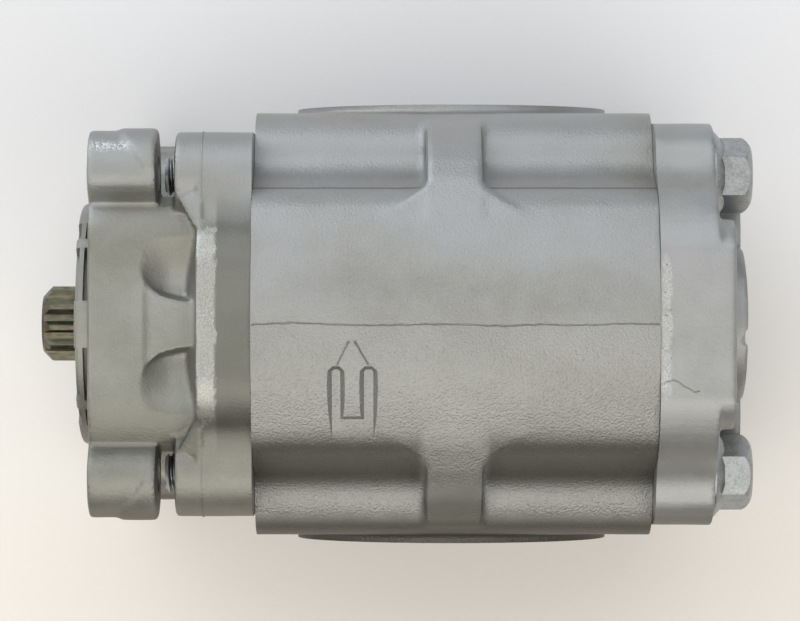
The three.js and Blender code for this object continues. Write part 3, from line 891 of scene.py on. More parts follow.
@dataclass(frozen=True)
class DressedMetal:
    """Cast metal with a strip where the flash was ground off; lengths in the fields are millimetres."""

    name: str
    strip: Patch
    cast: CastMetal
    ground: tuple[Point3, Point3] = ((0.30, 0.295, 0.27), (0.44, 0.435, 0.405))
    film: float = 0.0
    pitted: float = 0.15
    scuff: Patch | None = None
    pit: Point3 = (0.06, 0.06, 0.055)
    # colour of the painted shade on the inlet side
    shade_tone: Point3 = (0.045, 0.043, 0.028)
    bright: Point3 = (0.62, 0.62, 0.64)
    tear: float = 4.2

    def ground_metal(self, s: Shader, scratch: Socket) -> Socket:
        """The colour inside the strip.

        Args:
            s: the casting's shader.
            scratch: the grinder's marks.

        Returns:
            Scratched bright metal with dark pits.
        """
        bare = s.mix(scratch.step(0.36, 0.66), *self.ground)
        pits = s.noise(0.6, 3, (1, 1.5, 1), 0.7).step(0.60, 0.68)
        return s.mix(pits * self.pitted, bare, self.pit)

    def build(self) -> bpy.types.Material:
        """Builds the casting's skin with the torn-edged strip, painted shade on the inlet side, oily film and
        scuff over it.

        Returns:
            The material.
        """
        s = Shader(self.name)
        c = self.cast
        colour, patches, pebbles = c.skin(s, 0.32, 0.30)
        torn = (s.noise(1.6, 4, (1, 3, 1), 0.7) - 0.5) * (self.tear * MM)
        inside = self.strip.mask(s.x + torn, s.y + torn * 3, 0.0003, 0.0012)
        inside = inside * s.z.step(Datum.middle_z * 1.7 * MM, Datum.middle_z * 1.78 * MM)
        scratch = s.noise(0.24, 3, (1.2, 2.0, 1), 0.65)
        dents = s.noise(0.9, 2, (1.6, 1, 1), 0.6)
        # painted shade: the inlet-side skirt and hollow darken towards the shade tone
        skirt = s.y.step(-0.0435, -0.0480) * 0.6
        valley = s.y.step(-0.0180, -0.0230) * s.y.step(-0.0360, -0.0300) * 0.2
        colour = s.mix(skirt + valley, colour, self.shade_tone)
        behind = s.x.step((self.strip.high_x - 0.3) * MM, (self.strip.high_x + 0.6) * MM)
        film = behind * abs(s.y).step(0.033, 0.024) * self.film
        colour = s.mix(film, colour, tuple(tint * 0.55 for tint in c.dark))
        colour = s.mix(inside, colour, self.ground_metal(s, scratch))
        if self.scuff:
            rubbed = self.scuff.mask(s.x, s.y + torn * 0.5, 0.0012, 0.0008)
            streaks = s.noise(0.5, 3, (1, 1.6, 1), 0.7).step(0.47, 0.58)
            colour = s.mix(rubbed * streaks, colour, self.bright)
        height = pebbles * (1 - inside * 0.8) + inside * (scratch * 0.22 + dents * 0.3)
        relief = s.bump(height, c.pebble_depth * 1.7, s.bump(patches, c.swell_depth))
        rough = c.rough(patches) - inside * 0.08
        return s.finish(colour, rough, relief, c.metallic, Specular_IOR_Level=c.specular)


@dataclass(frozen=True)
class WorkedMetal:
    """Turned, ground or plated metal with fine tool marks."""

    name: str
    light: Point3
    dark: Point3
    roughness: float
    marks: Point3 = (0.15, 4, 4)
    depth: float = 0.012
    stain: Point3 | None = None
    stain_share: tuple[float, float] = (0.52, 0.68)

    def build(self) -> bpy.types.Material:
        """Builds the tool marks, with a stain over them if there is one.

        Returns:
            The material.
        """
        s = Shader(self.name)
        lines = s.noise(0.5, 3, self.marks, 0.6)
        blots = s.noise(3.2, 4, roughness=0.62)
        colour = s.ramp(lines * 0.5 + blots * 0.5, (0.36, self.dark), (0.64, self.light))
        rough = self.roughness + blots * 0.16 - 0.08
        if self.stain:
            stained = blots.step(*self.stain_share)
            colour = s.mix(stained, colour, self.stain)
            rough = rough + stained * 0.18
        relief = s.bump(lines, self.depth, s.bump(blots, 0.03))
        return s.finish(colour, rough, relief, 1.0)


@dataclass(frozen=True)
class SoftFinish:
    """Moulded rubber or plastic with a dusty, faintly pitted skin."""

    name: str
    light: Point3
    dark: Point3
    roughness: float

    def build(self) -> bpy.types.Material:
        """Builds the dusty skin.

        Returns:
            The material.
        """
        s = Shader(self.name)
        dust = s.noise(2.5, 4, roughness=0.6)
        colour = s.ramp(dust, (0.38, self.dark), (0.68, self.light))
        relief = s.bump(s.noise(0.35, 2), 0.02)
        return s.finish(colour, self.roughness + dust * 0.12 - 0.06, relief, 0.0)


class Finishes:
    """Every finish of the pump, by the record's material slot."""

    def __init__(self) -> None:
        """Builds each material once."""
        plate, seam = Datum.plate_back, Datum.cover_front
        front = CastMetal(
            "die-cast cover", light=(0.30, 0.297, 0.265), dark=(0.215, 0.21, 0.18), pebble_depth=0.04
        )
        rear = CastMetal(
            "die-cast rear cover", light=(0.39, 0.39, 0.38), dark=(0.30, 0.30, 0.29), pebble_depth=0.028
        )
        castings = {
            "body_casting": CastMetal("die-cast body", coarse_side=0.75, painted_shade=BodyPaintedShade()),
            "front_casting": DressedMetal(
                "dressed front cover", Patch(plate - 12.9, plate - 8.4, -22.6, 22.4), front,
                film=0.6, scuff=Patch(-73.0, -64.0, 41.7, 43.6),
            ),
            "cover_casting": DressedMetal(
                "dressed rear cover", Patch(seam + 0.3, seam + 2.6, -16.0, 15.5), rear,
                ground=((0.36, 0.36, 0.355), (0.52, 0.52, 0.51)), pitted=0.8,
            ),
        }
        worked = [
            WorkedMetal(
                "zinc_plated_steel", (0.42, 0.44, 0.45), (0.25, 0.26, 0.26), 0.38,
                marks=(1, 1, 1), depth=0.02, stain=(0.36, 0.33, 0.24), stain_share=(0.60, 0.74),
            ),
            WorkedMetal("ground_steel", (0.50, 0.50, 0.50), (0.36, 0.36, 0.37), 0.24),
            WorkedMetal(
                "oiled_steel", (0.17, 0.165, 0.12), (0.075, 0.07, 0.045), 0.34,
                marks=(5, 1, 1), depth=0.02, stain=(0.16, 0.09, 0.045), stain_share=(0.54, 0.70),
            ),
            WorkedMetal("block_alloy", (0.62, 0.62, 0.60), (0.48, 0.48, 0.47), 0.30),
            WorkedMetal("bush_bronze", (0.42, 0.33, 0.20), (0.28, 0.22, 0.14), 0.38),
            WorkedMetal("spring_steel", (0.10, 0.10, 0.10), (0.05, 0.05, 0.05), 0.42),
        ]
        soft = [
            SoftFinish("seal_rubber", (0.045, 0.044, 0.042), (0.018, 0.018, 0.018), 0.62),
            SoftFinish("backup_plastic", (0.72, 0.68, 0.58), (0.60, 0.56, 0.47), 0.50),
        ]
        named = {finish.name: finish for finish in (*worked, *soft)}
        self.slots = {slot: finish.build() for slot, finish in (named | castings).items()}

    def __getitem__(self, slot: str) -> bpy.types.Material:
        """The material of a slot."""
        return self.slots[slot]


# ---- Housing ----
@dataclass
class Casting:
    """What the three housing castings share: bolt and dowel holes, and the flat that the pump lies on."""

    finishes: Finishes
    crown: float = 67.0
    bolt_hole: float = 5.4
    dowel_hole: float = 3.3
    voxel: float = 0.8

    def bolt_holes(self, start: float, end: float) -> list[Solid]:
        """Four bolt holes between two stations."""
        places = four_corners(Datum.bolt_y, Datum.bolt_z)
        return [Solid.disc(y, z, self.bolt_hole, start, end) for _, _, y, z in places]

    def dowel_holes(self, start: float, end: float) -> list[Solid]:
        """Two dowel holes between two stations."""
        return [Solid.disc(s.value * Datum.dowel_y, 0, self.dowel_hole, start, end, 32) for s in Side]

    def rested(self, made: Solid) -> Solid:
        """The casting with the flat on its underside."""
        return made.faced((0, 0, Datum.foot), (0, 0, -1))


@dataclass
class PumpBody(Casting):
    """The long middle casting, with cross ribs, port bosses and the sunk arrow."""

    crown_radius: float = 59.5
    half_width: float = 52.0
    rib_half_width: float = 6.7
    boss: Point2 = (39.0, 26.0)
    bore: float = 24.8
    seal_groove: tuple[float, float, float] = (26.1, 28.6, 2.2)
    ports: dict[Side, tuple[float, float, float]] = field(
        default_factory=lambda: {Side.INLET: (13.0, 25.5, 3.4), Side.OUTLET: (10.0, 21.0, 3.4)}
    )
    saw_over: float = 3.0
    flare_reach: float = 12.0
    fork: tuple[tuple[float, float, float, float], ...] = (
        (-14.9, -12.9, -29.5, -10.6), (-7.3, -5.1, -29.5, -10.6), (-14.9, -5.1, -29.5, -22.4),
    )
    fork_floor: tuple[float, float, float] = (65.05, -10.2, 0.268)
    fork_rise: float = 2.4
    fork_wall: float = 0.85
    fork_end: float = 0.75
    strokes: tuple[Point2, ...] = ((-10.9, -13.7), (-9.5, -6.2))
    stroke_span: Point2 = (-3.9, -9.5)
    stroke_rise: float = 0.30
    stroke_half_width: float = 0.34
    flash_depth: float = 0.55
    flash_half_width: float = 0.23

    def crown_at(self, y: float) -> float:
        """Height of the domed crown at a Y."""
        return self.crown - self.crown_radius + math.sqrt(self.crown_radius**2 - y * y)

    def section(self) -> list[Point2]:
        """Draws the casting's section: domed crown, hollow, and a round lobe over each bolt.

        Returns:
            The outline.
        """
        dome = arc(0, self.crown - self.crown_radius, self.crown_radius, 90, 63, 14)
        flank = path(
            dome[-1],
            ((30.9, 58.9), (33.0, 51.8)),
            ((35.4, 46.2),),
            ((37.2, 40.9), (42.6, 40.4)),
            ((50.6, 38.8), (self.half_width, 27)),
            ((self.half_width, 0),),
        )
        return four_way([*dome, *flank[1:]])

    def rib_section(self) -> list[Point2]:
        """Draws the cross rib's section, which bridges the hollows.

        Returns:
            The outline.
        """
        edge = (23.0, self.crown_at(23.0) - 0.1)
        side = ((50.0, 55.5), (self.half_width - 0.1, 22))
        return four_way(path((0, edge[1]), (edge,), side, ((self.half_width - 0.3, 0),)))

    def rib_flares(self) -> list[Solid]:
        """Draws the gussets where the rib runs out into the crown.

        Returns:
            The gussets.
        """
        flares = []
        for end in (-1, 1):
            edge = Datum.body_middle + end * (self.rib_half_width - 0.6)
            tip = edge + end * self.flare_reach
            drawn = Solid.hull(
                [
                    (edge, 33.4, 58.3), (edge, 24.0, 61.7), (tip, 25.4, self.crown_at(25.4) + 0.15),
                    (edge, 35.0, 50.0), (edge, 24.0, 52.0), (tip, 24.0, 56.0),
                    (edge + end * 3.0, 31.2, 58.9),
                ]
            )
            flares += [drawn.mirrored(side, half) for side in Side for half in Half]
        return flares

    def blank(self) -> Solid:
        """Draws the casting before machining.

        Returns:
            The rough casting.
        """
        over, middle = self.saw_over, Datum.body_middle
        turns = [math.tau * i / 96 for i in range(96)]
        boss = [(middle + self.boss[0] * math.cos(a), self.boss[1] * math.sin(a)) for a in turns]
        made = Solid.along_x(self.section(), Datum.body_front - over, Datum.body_back + over).add(
            Solid.along_x(self.rib_section(), middle - self.rib_half_width, middle + self.rib_half_width),
            Solid.along_y(boss, -Datum.port_face - over, Datum.port_face + over),
            *self.rib_flares(),
        )
        return made.cast(self.voxel, 5).wandered(0.10, 9.0)

    def arrow(self) -> list[Solid]:
        """Draws the arrow's shaft, a forked recess behind a head that points to the outlet.

        Returns:
            The cutters, one for each arm of the fork and one for its foot.
        """
        rise = self.fork_rise
        out = self.fork_wall * rise

        def ring(x0: float, x1: float, y0: float, y1: float, chamfer: float, up: float) -> list[Point3]:
            """A level of a pocket whose two far corners are cut off.

            Args:
                x0: least X.
                x1: greatest X.
                y0: least Y.
                y1: greatest Y.
                chamfer: what is cut off the far corners.
                up: the level's height over the floor.

            Returns:
                The level's corners.
            """
            near = [(x0, y0), (x1, y0)]
            far = [(x1, y1 - chamfer), (x1 - chamfer, y1), (x0 + chamfer, y1), (x0, y1 - chamfer)]
            low, start, slope = self.fork_floor
            return [(x, y, low + (y - start) * slope + up) for x, y in near + far]

        def pocket(x0: float, x1: float, y0: float, y1: float) -> Solid:
            """A pocket with sloping walls over a floor that follows the crown."""
            mouth = ring(x0 - out, x1 + out, y0 - 0.3, y1 + self.fork_end * rise, 0.5 + 0.6 * rise, rise)
            return Solid.hull(ring(x0, x1, y0, y1, 0.5, 0.0) + mouth)

        return [pocket(*limits) for limits in self.fork]

    def arrow_head(self) -> list[Solid]:
        """Draws the two thin raised lines of the arrow's head.

        Returns:
            The lines.
        """
        strokes = []
        for x0, x1 in self.strokes:
            start, end = (Vector((x, y, 0)) for x, y in zip((x0, x1), self.stroke_span, strict=True))
            across = (end - start).normalized().cross(Vector((0, 0, 1)))
            ridge = [(p.x, p.y, self.crown_at(p.y) + self.stroke_rise) for p in (start, end)]
            foot = [p + side * across * self.stroke_half_width for p in (start, end) for side in (-1, 1)]
            ridge += [(p.x, p.y, self.crown_at(p.y) - drop) for p in foot for drop in (0.02, 0.8)]
            strokes.append(Solid.hull(ridge))
        return strokes

    def flash(self) -> Solid:
        """Draws the wavy groove where the dies met, along the crown.

        Returns:
            The cutter.
        """
        steps = 90
        front, back = Datum.body_front + 0.3, Datum.body_back - 0.3
        upper, lower = [], []
        for i in range(steps + 1):
            x = front + (back - front) * i / steps
            swing = 0.75 * noise.noise(Vector((x / 16, 3.1, 0)))
            y = swing + 0.25 * noise.noise(Vector((x / 2.1, 0, 0)))
            half = self.flash_half_width + 0.16 * noise.noise(Vector((x / 3.0, 7.0, 1.0)))
            upper.append((x, y + half))
            lower.append((x, y - half))
        return Solid.along_z(upper + lower[::-1], self.crown - self.flash_depth, self.crown + 1.0)

    def port_cutters(self) -> list[Solid]:
        """Draws both port bores and their tapped holes.

        Returns:
            The cutters.
        """
        cutters = []
        lip, face = 0.6, Datum.port_face + 1
        for side, (radius, circle, hole) in self.ports.items():
            arm = circle * math.sqrt(0.5)
            rounds = [(0.0, 0.0, radius, Datum.port_face - 8, 64)]
            rounds += [(i * arm, j * arm, hole, 13.0, 32) for i in (-1, 1) for j in (-1, 1)]
            for x, z, size, depth, steps in rounds:
                mouth = [(0, 0), (0, size + lip + 1), (1 + lip, size)]
                tool = Solid.turned([*mouth, (depth + 1, size), (depth + 1 + size * 0.3, 0)], steps=steps)
                tool.turned_by(-90 * side.value, "Z")
                cutters.append(tool.moved(Datum.body_middle + x, side.value * face, z))
        return cutters

    def build(self) -> bpy.types.Object:
        """Casts, machines and dresses the body.

        Returns:
            The finished piece.
        """
        front, back = Datum.body_front, Datum.body_back
        made = self.rested(self.blank())
        for point, outwards in (((front, 0, 0), (-1, 0, 0)), ((back, 0, 0), (1, 0, 0))):
            made.faced(point, outwards)
        for side in Side:
            made.faced((0, side.value * Datum.port_face, 0), (0, side.value, 0))
        made.add(*self.arrow_head())
        inner, outer, depth = self.seal_groove
        grooves = []
        for start, end in ((front - 1, front + depth), (back - depth, back + 1)):
            ring = Solid.along_x(figure_eight(outer), start, end)
            grooves.append(ring.cut(Solid.along_x(figure_eight(inner), start - 1, end + 1)))
        made.cut(
            Solid.along_x(figure_eight(self.bore, 64), front - 1, back + 1),
            *grooves,
            *self.bolt_holes(front - 1, back + 1),
            *self.dowel_holes(front - 1, front + 8),
            *self.dowel_holes(back - 8, back + 1),
            *self.port_cutters(),
            *self.arrow(),
            self.flash(),
        )
        piece = made.piece("pump_body", "housing", "body_casting", self.finishes["body_casting"])
        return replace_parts(piece, "body")


@dataclass
class RearCover(Casting):
    """The rear cover, with its pad and two round bosses."""

    half_width: float = 49.0
    top: float = 66.2
    voxel: float = 0.65
    pad: float = 3.8
    boss_radius: float = 19.0
    spot_face: float = 11.6
    crack: tuple[tuple[float, float, float], ...] = (
        (0.8, -13.6, 0.10), (2.8, -13.0, 0.30), (4.2, -13.5, 0.16), (5.0, -14.3, 0.34),
        (6.5, -15.0, 0.20), (7.9, -15.9, 0.28), (9.4, -15.6, 0.05),
    )
    crack_depth: float = 0.5

    def section(self) -> list[Point2]:
        """Draws the cover's section in front of the bolt heads.

        Returns:
            The outline.
        """
        return four_way(
            path(
                (0, self.top), ((18, self.top),), ((26.5, 64.6), (32.5, 57.2)), ((36, 51.8), (41, 50.8)),
                ((48.6, 49.2), (self.half_width, 36)), ((self.half_width, 0),),
            )
        )

    def crack_cutter(self) -> Solid:
        """Draws the ragged crack in the skin from its stations, each an X, a Y and a half width.

        Returns:
            The cutter.
        """
        far = [(Datum.cover_front + x, y + half) for x, y, half in self.crack]
        near = [(Datum.cover_front + x, y - half) for x, y, half in self.crack]
        return Solid.along_z(far + near[::-1], self.top - self.crack_depth, self.top + 1)

    def blank(self) -> Solid:
        """Draws the casting before machining.

        Returns:
            The cover with its pad, bosses and the small dimple at the pad's end.
        """
        face, back = Datum.cover_face, Datum.cover_back
        pad = four_way(path((0, self.top), ((18, self.top),), ((23, 64.5), (25, 58)), ((25, 0),)))
        gear = Datum.gear
        bridge = four_way(path((0, gear), ((24, gear),), ((30, gear), (30, 15)), ((30, 0),)))
        made = Solid.along_x(self.section(), Datum.cover_front - 3, face).add(
            Solid.along_x(pad, face - 2, face + self.pad),
            Solid.along_x(bridge, face - 1, back),
            *(Solid.disc(0, half.value * gear, self.boss_radius, face - 1, back, 96) for half in Half),
        )
        made.cut(Solid.ball((back + 0.6, -3.0, gear + 15.5), (2.4, 2.6, 4.0)))
        return made.cast(self.voxel, 4).wandered(0.10, 8.0)

    def build(self) -> bpy.types.Object:
        """Casts, machines and dresses the rear cover.

        Returns:
            The finished piece.
        """
        front, face = Datum.cover_front, Datum.cover_face
        made = self.rested(self.blank().faced((front, 0, 0), (-1, 0, 0)))
        corners = four_corners(Datum.bolt_y, Datum.bolt_z)
        seats = [Solid.disc(y, z, self.spot_face, face - 0.4, face + 6) for _, _, y, z in corners]
        made.cut(*seats, *self.bolt_holes(front - 1, face + 2), self.crack_cutter())
        made.cut(*self.dowel_holes(front - 1, front + 8))
        piece = made.piece("rear_end_cover", "housing", "cover_casting", self.finishes["cover_casting"])
        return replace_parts(piece, "rear_cover")


@dataclass
class FrontCover(Casting):
    """The front casting: pilot, four lugs, neck with scooped hollows, and clamping plate."""

    lug: tuple[float, float, float, float] = (36.4, 45.2, 10.3, 4.3)
    lobe: tuple[float, float, float, float] = (35.7, 46.4, 10.6, 28.0)
    neck: tuple[float, float, float] = (30.8, 54.0, 18.5)
    pilot_radius: float = 29.75
    pilot_bore: float = 18.0
    pockets: tuple[Point2, ...] = ((11.0, 38.5), (44.0, 56.0))
    voxel: float = 0.6
    bolt_hole: float = 5.3
    web: tuple[Point2, ...] = (
        (-13.8, 12.4), (-12.6, 9.6), (-11.2, 8.0), (-8.8, 6.5), (-5.3, 5.6), (-1.2, 5.0), (0.0, 4.9),
    )
    scoop_depth: float = 3.6
    scoop_reach: Point2 = (15.0, 27.0)
    fin: float = 0.22
    seal_room: tuple[float, float, float] = (18.9, 17.8, 13.5)

    def plate_section(self, shrink: float = 0.0) -> list[Point2]:
        """Draws the clamping plate's section.

        Args:
            shrink: how far it is drawn in all round.

        Returns:
            The outline.
        """
        y, z, radius, _ = self.lobe
        top = 65.4 - shrink
        rounded = radius - shrink
        slope = ((18.8, 65.2 - shrink), (23.6, 60.4 - shrink))
        foot = ((26.6, 57.4 - shrink), (y - 1.5, z + rounded))
        quarter = path((0, top), ((13, top),), slope, foot)
        return four_way([*quarter, *arc(y, z, rounded, 90, 0, 16), (y + rounded, 0)])

    def lug_solid(self) -> Solid:
        """Draws one mounting lug, whose inner flank runs down into the neck.

        Returns:
            The lug.
        """
        y, z, radius, _ = self.lug
        flank = [(33.4, 54.9), (31.5, 53.4), (29.7, 51.4), (28.5, 49.6)]
        outline = [(28.0, 36), *arc(y, z, radius, -70, 97, 30), *flank]
        return Solid.along_x(outline, Datum.mount_face, Datum.lug_back)

    def lug_flash(self) -> Solid:
        """Draws the raised skin on a lug's rear corner, which ends in a slanting step.

        Returns:
            The skin.
        """
        y, z, radius, _ = self.lug
        skin = Solid.disc(y, z, radius + 0.6, Datum.mount_face + 4, Datum.lug_back - 0.3, 64)
        skin.faced((Datum.lug_back - 2.7, 37.4, 0), (-8.8, -5.7, 0)).faced((0, 37.0, 0), (0, -1, 0))
        return skin.faced((0, 0, z - 4), (0, 0, -1))

    def lobe_solid(self) -> Solid:
        """Draws one bolt boss in front of the plate, whose inner flank falls back to it.

        Returns:
            The boss.
        """
        y, z, radius, low = self.lobe
        outline = [*arc(y, z, radius, 0, 180, 28), *arc(y, low, radius, 180, 360, 20)]
        boss = Solid.along_x(outline, Datum.boss_front, Datum.plate_front + 2)
        front, back = Datum.boss_front + 0.4, Datum.plate_front + 1
        top = [(front, 31, 55.4), (back, 20.5, 61.5), (back, 31, 57.5)]
        return boss.add(Solid.hull([*top, (front, 31, 44), (back, 20.5, 44)]))

    def web_half(self, x: float) -> float:
        """Half the web's width, which flares towards the pilot.

        Args:
            x: station from the plate, negative in front of it.

        Returns:
            The half width.
        """
        for (x0, y0), (x1, y1) in zip(self.web, self.web[1:], strict=False):
            if x0 <= x <= x1:
                return y0 + (y1 - y0) * (x - x0) / (x1 - x0)
        return self.web[0][1] if x < self.web[0][0] else self.web[-1][1]

    def scoops(self) -> list[Solid]:
        """Draws the shallow hollows that leave a web between neck and plate.

        Returns:
            One cutter for the top and one for the underside.
        """
        top, depth, end = self.neck[1], self.scoop_depth, Datum.plate_front
        reach_x, reach_y = self.scoop_reach
        lead = 0.35

        def height(x: float, y: float) -> float:
            """The scoop's floor: deepest at the web's foot, running out to the side and to the pilot.

            Args:
                x: station along the shaft.
                y: station across it.

            Returns:
                The floor's height.
            """
            off = abs(y) - self.web_half(x - end)
            wall = smooth(off, -0.2, 1.5)
            outer = 1 - smooth(abs(y), 8.0, 26.0)
            ahead = smooth(x - end, -14.6, -6.0) ** 0.6
            sunk = 0.9 * smooth(x - end, -13.4, -12.3) * (1 - smooth(off, -0.6, 0.6))
            return top + lead - max(sunk, (depth + lead) * wall * outer * ahead)

        drawn = Solid.sheet(height, (end - reach_x, -reach_y), (end + 1, reach_y), top + 8, 0.5)
        return [drawn.mirrored(Side.OUTLET, half) for half in Half]

    def root(self) -> list[Solid]:
        """Draws the gentle fillet where the neck runs up into the plate.

        Returns:
            The fillets of the top and the underside.
        """
        end, top = Datum.plate_front, self.neck[1]
        outline = [
            (end - 2.9, top - 3.5), (end - 1.5, top - 1.7), (end - 0.4, top + 0.1), (end + 1, top + 2.0),
            (end + 1, top - 9), (end - 2.9, top - 9),
        ]
        rise = Solid.hull([(x, y, z) for y in (-22, 22) for x, z in outline])
        return [rise.mirrored(Side.OUTLET, half) for half in Half]

    def blank(self) -> Solid:
        """Draws the casting before machining.

        Returns:
            The rough casting.
        """
        width, top, corner = self.neck
        shoulder = [*arc(18.0, top - corner, corner, 90, 55, 10), (width - 1.9, 48.5), (width, 46)]
        neck = four_way([(0, top), *shoulder, (width, 0)])
        made = Solid.along_x(neck, Datum.mount_face, Datum.plate_front + 2).cut(*self.scoops())
        quarters = [
            drawn.mirrored(side, half)
            for drawn in (self.lug_solid(), self.lug_flash(), self.lobe_solid())
            for side in Side
            for half in Half
        ]
        made.add(
            Solid.along_x(self.plate_section(), Datum.plate_front, Datum.plate_back + 3),
            *self.root(),
            *quarters,
        )
        return made.cast(self.voxel, 4).wandered(0.10, 8.0)

    def rim_sector(self, low: float, high: float, start: float, end: float) -> Solid:
        """Draws a sector of the pilot's rim.

        Args:
            low: first angle from the top, in degrees.
            high: last angle.
            start: first station.
            end: last station.

        Returns:
            The sector.
        """
        outline = [
            *arc(0, Datum.gear, self.pilot_radius + 1, 90 - high, 90 - low, 16),
            *arc(0, Datum.gear, self.pilot_radius - 3.2, 90 - low, 90 - high, 16),
        ]
        return Solid.along_x(outline, start, end)

    def pilot(self) -> Solid:
        """Draws the locating ring, with its relief pockets.

        Returns:
            The ring.
        """
        front, face, chamfer = Datum.pilot_front, Datum.mount_face, 0.8
        ring = Solid.turned(
            [
                (front, 0), (front, self.pilot_radius - chamfer),
                (front + chamfer * 0.3, self.pilot_radius - 0.3),
                (front + chamfer, self.pilot_radius), (face + 1, self.pilot_radius), (face + 1, 0),
            ],
            0, Datum.gear, 144,
        )
        rim = front + 1
        cutters = []
        for place in (lambda a: a, lambda a: -a, lambda a: 180 - a, lambda a: 180 + a):
            for pocket in self.pockets:
                low, high = sorted(place(a) for a in pocket)
                cutters.append(self.rim_sector(low, high, front - 1, rim))
                cutters.append(self.rim_sector(low, high, rim + 1.1, face + 0.02))
        return ring.cut(*cutters)

    def flash(self) -> list[Solid]:
        """Draws the thin fin where the dies met, left standing on the plate's lobes.

        Returns:
            A fin for each side.
        """
        seam = Datum.plate_front + 0.85
        fins = []
        for side in Side:
            fin = Solid.along_x(self.plate_section(-self.fin), seam, seam + 0.26)
            fins.append(fin.faced((0, side.value * 26.0, 0), (0, -side.value, 0)))
        return fins

    def shaft_bore(self) -> Solid:
        """Draws the stepped bore for the seal, its retaining ring and the journal.

        Returns:
            The cutter.
        """
        front = Datum.pilot_front
        slot = Datum.ring_front - 0.15
        pocket = Datum.seal_front - 0.3, Datum.seal_back + 0.3
        ring, seal, journal = self.seal_room
        profile = [
            (front - 1, 0), (front - 1, self.pilot_bore + 1.8), (front + 0.8, self.pilot_bore),
            (slot, self.pilot_bore), (slot, ring), (pocket[0], ring), (pocket[0], seal),
            (pocket[1], seal), (pocket[1], journal),
            (Datum.plate_back + 1, journal), (Datum.plate_back + 1, 0),
        ]
        return Solid.turned(profile, 0, Datum.gear, 96)

    def build(self) -> bpy.types.Object:
        """Casts, machines and dresses the front cover.

        Returns:
            The finished piece.
        """
        face = Datum.mount_face
        y, z, _, hole = self.lug
        made = self.rested(self.blank().faced((Datum.plate_back, 0, 0), (1, 0, 0)))
        made.add(self.pilot(), *self.flash())
        lugs = four_corners(y, z)
        lug_holes = [Solid.disc(v, w, hole, face - 1, Datum.lug_back + 2) for _, _, v, w in lugs]
        made.cut(
            self.shaft_bore(),
            *lug_holes,
            *self.bolt_holes(Datum.boss_front - 1, Datum.plate_back + 1),
            *self.dowel_holes(Datum.plate_back - 8, Datum.plate_back + 1),
        )
        piece = made.piece("front_flange_cover", "housing", "front_casting", self.finishes["front_casting"])
        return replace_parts(piece, "front_cover")


@dataclass
class CoverBolts:
    """Four flange bolts through the whole pump, with rolled threads at their points."""

    finishes: Finishes
    radius: float = 5.0
    pitch: float = 1.5
    across_flats: float = 16.0
    flange: float = 10.8
    turn: float = 3.0
    thread_turns: int = 8
    thread_depth: float = 0.95

    def thread(self) -> Solid:
        """Winds the helical ridge at the bolt's point.

        Returns:
            The ridge.
        """
        start = Datum.bolt_point - self.pitch
        root = self.radius - self.thread_depth
        gap, facets = 0.08, 30
        outline = [
            (gap, root - 0.4), (gap, root), (self.pitch * 0.44, self.radius),
            (self.pitch * 0.56, self.radius), (self.pitch - gap, root), (self.pitch - gap, root - 0.4),
        ]
        bm = bmesh.new()
        bm.faces.new([bm.verts.new((start + x, 0, r)) for x, r in outline])
        bmesh.ops.spin(
            bm, geom=[*bm.verts, *bm.edges, *bm.faces], cent=(0, 0, 0), axis=(1, 0, 0),
            dvec=(self.pitch / facets, 0, 0), angle=math.tau * self.thread_turns,
            steps=facets * self.thread_turns, use_duplicate=False,
        )
        return Solid(bm)

    def drawn(self) -> Solid:
        """Draws one bolt on the line between the gears.

        Returns:
            The bolt.
        """
        seat = Datum.cover_face + 0.3
        top, point = Datum.head_top, Datum.bolt_point
        corner = self.across_flats / math.sqrt(3)
        hexagon = arc(0, 0, corner, self.turn, self.turn + 300, 5)
        crown = [(top - 2.4, corner + 0.2), (top - 1.1, 8.5), (top - 0.3, 7.5), (top, 6.8), (top, 0)]
        head = Solid.along_x(hexagon, seat, top).common(Solid.turned([(seat, 0), (seat, corner + 1), *crown]))
        dish = Solid.turned([(top - 0.5, 0), (top - 0.4, 4.0), (top + 1, 5.4), (top + 1, 0)])
        flange = Solid.turned(
            [
                (seat, 0), (seat, self.flange - 0.3), (seat + 0.3, self.flange), (seat + 0.9, self.flange),
                (seat + 1.3, self.flange - 0.3), (seat + 2.6, 8.9), (seat + 3.1, 8.3), (seat + 3.1, 0),
            ]
        )
        root, full = self.radius - self.thread_depth, self.radius + 0.05
        thread_end = point + self.pitch * (self.thread_turns - 1)
        core = Solid.turned(
            [
                (point, 0), (point, root), (thread_end, root), (thread_end + 0.8, self.radius),
                (seat + 1, self.radius), (seat + 1, 0),
            ],
            steps=60,
        )
        runout = thread_end + 3
        envelope = Solid.turned(
            [(point, 0), (point, root - 0.1), (point + 1.2, full), (runout, full), (runout, 0)], steps=60
        )
        return head.cut(dish).add(flange, core.add(self.thread().common(envelope)))

    def build(self) -> list[bpy.types.Object]:
        """Makes the four bolts.

        Returns:
            The pieces.
        """
        drawn, slot = self.drawn(), "zinc_plated_steel"
        pieces = []
        for half, side, y, z in four_corners(Datum.bolt_y, Datum.bolt_z):
            place = f"{'upper' if half is Half.DRIVE else 'lower'}_{side.name.lower()}"
            bolt = drawn.copy().moved(0, y, z)
            piece = bolt.piece(f"flange_bolt_{place}", "housing", slot, self.finishes[slot])
            pieces.append(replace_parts(piece, f"cover_bolt_{place}"))
        return pieces


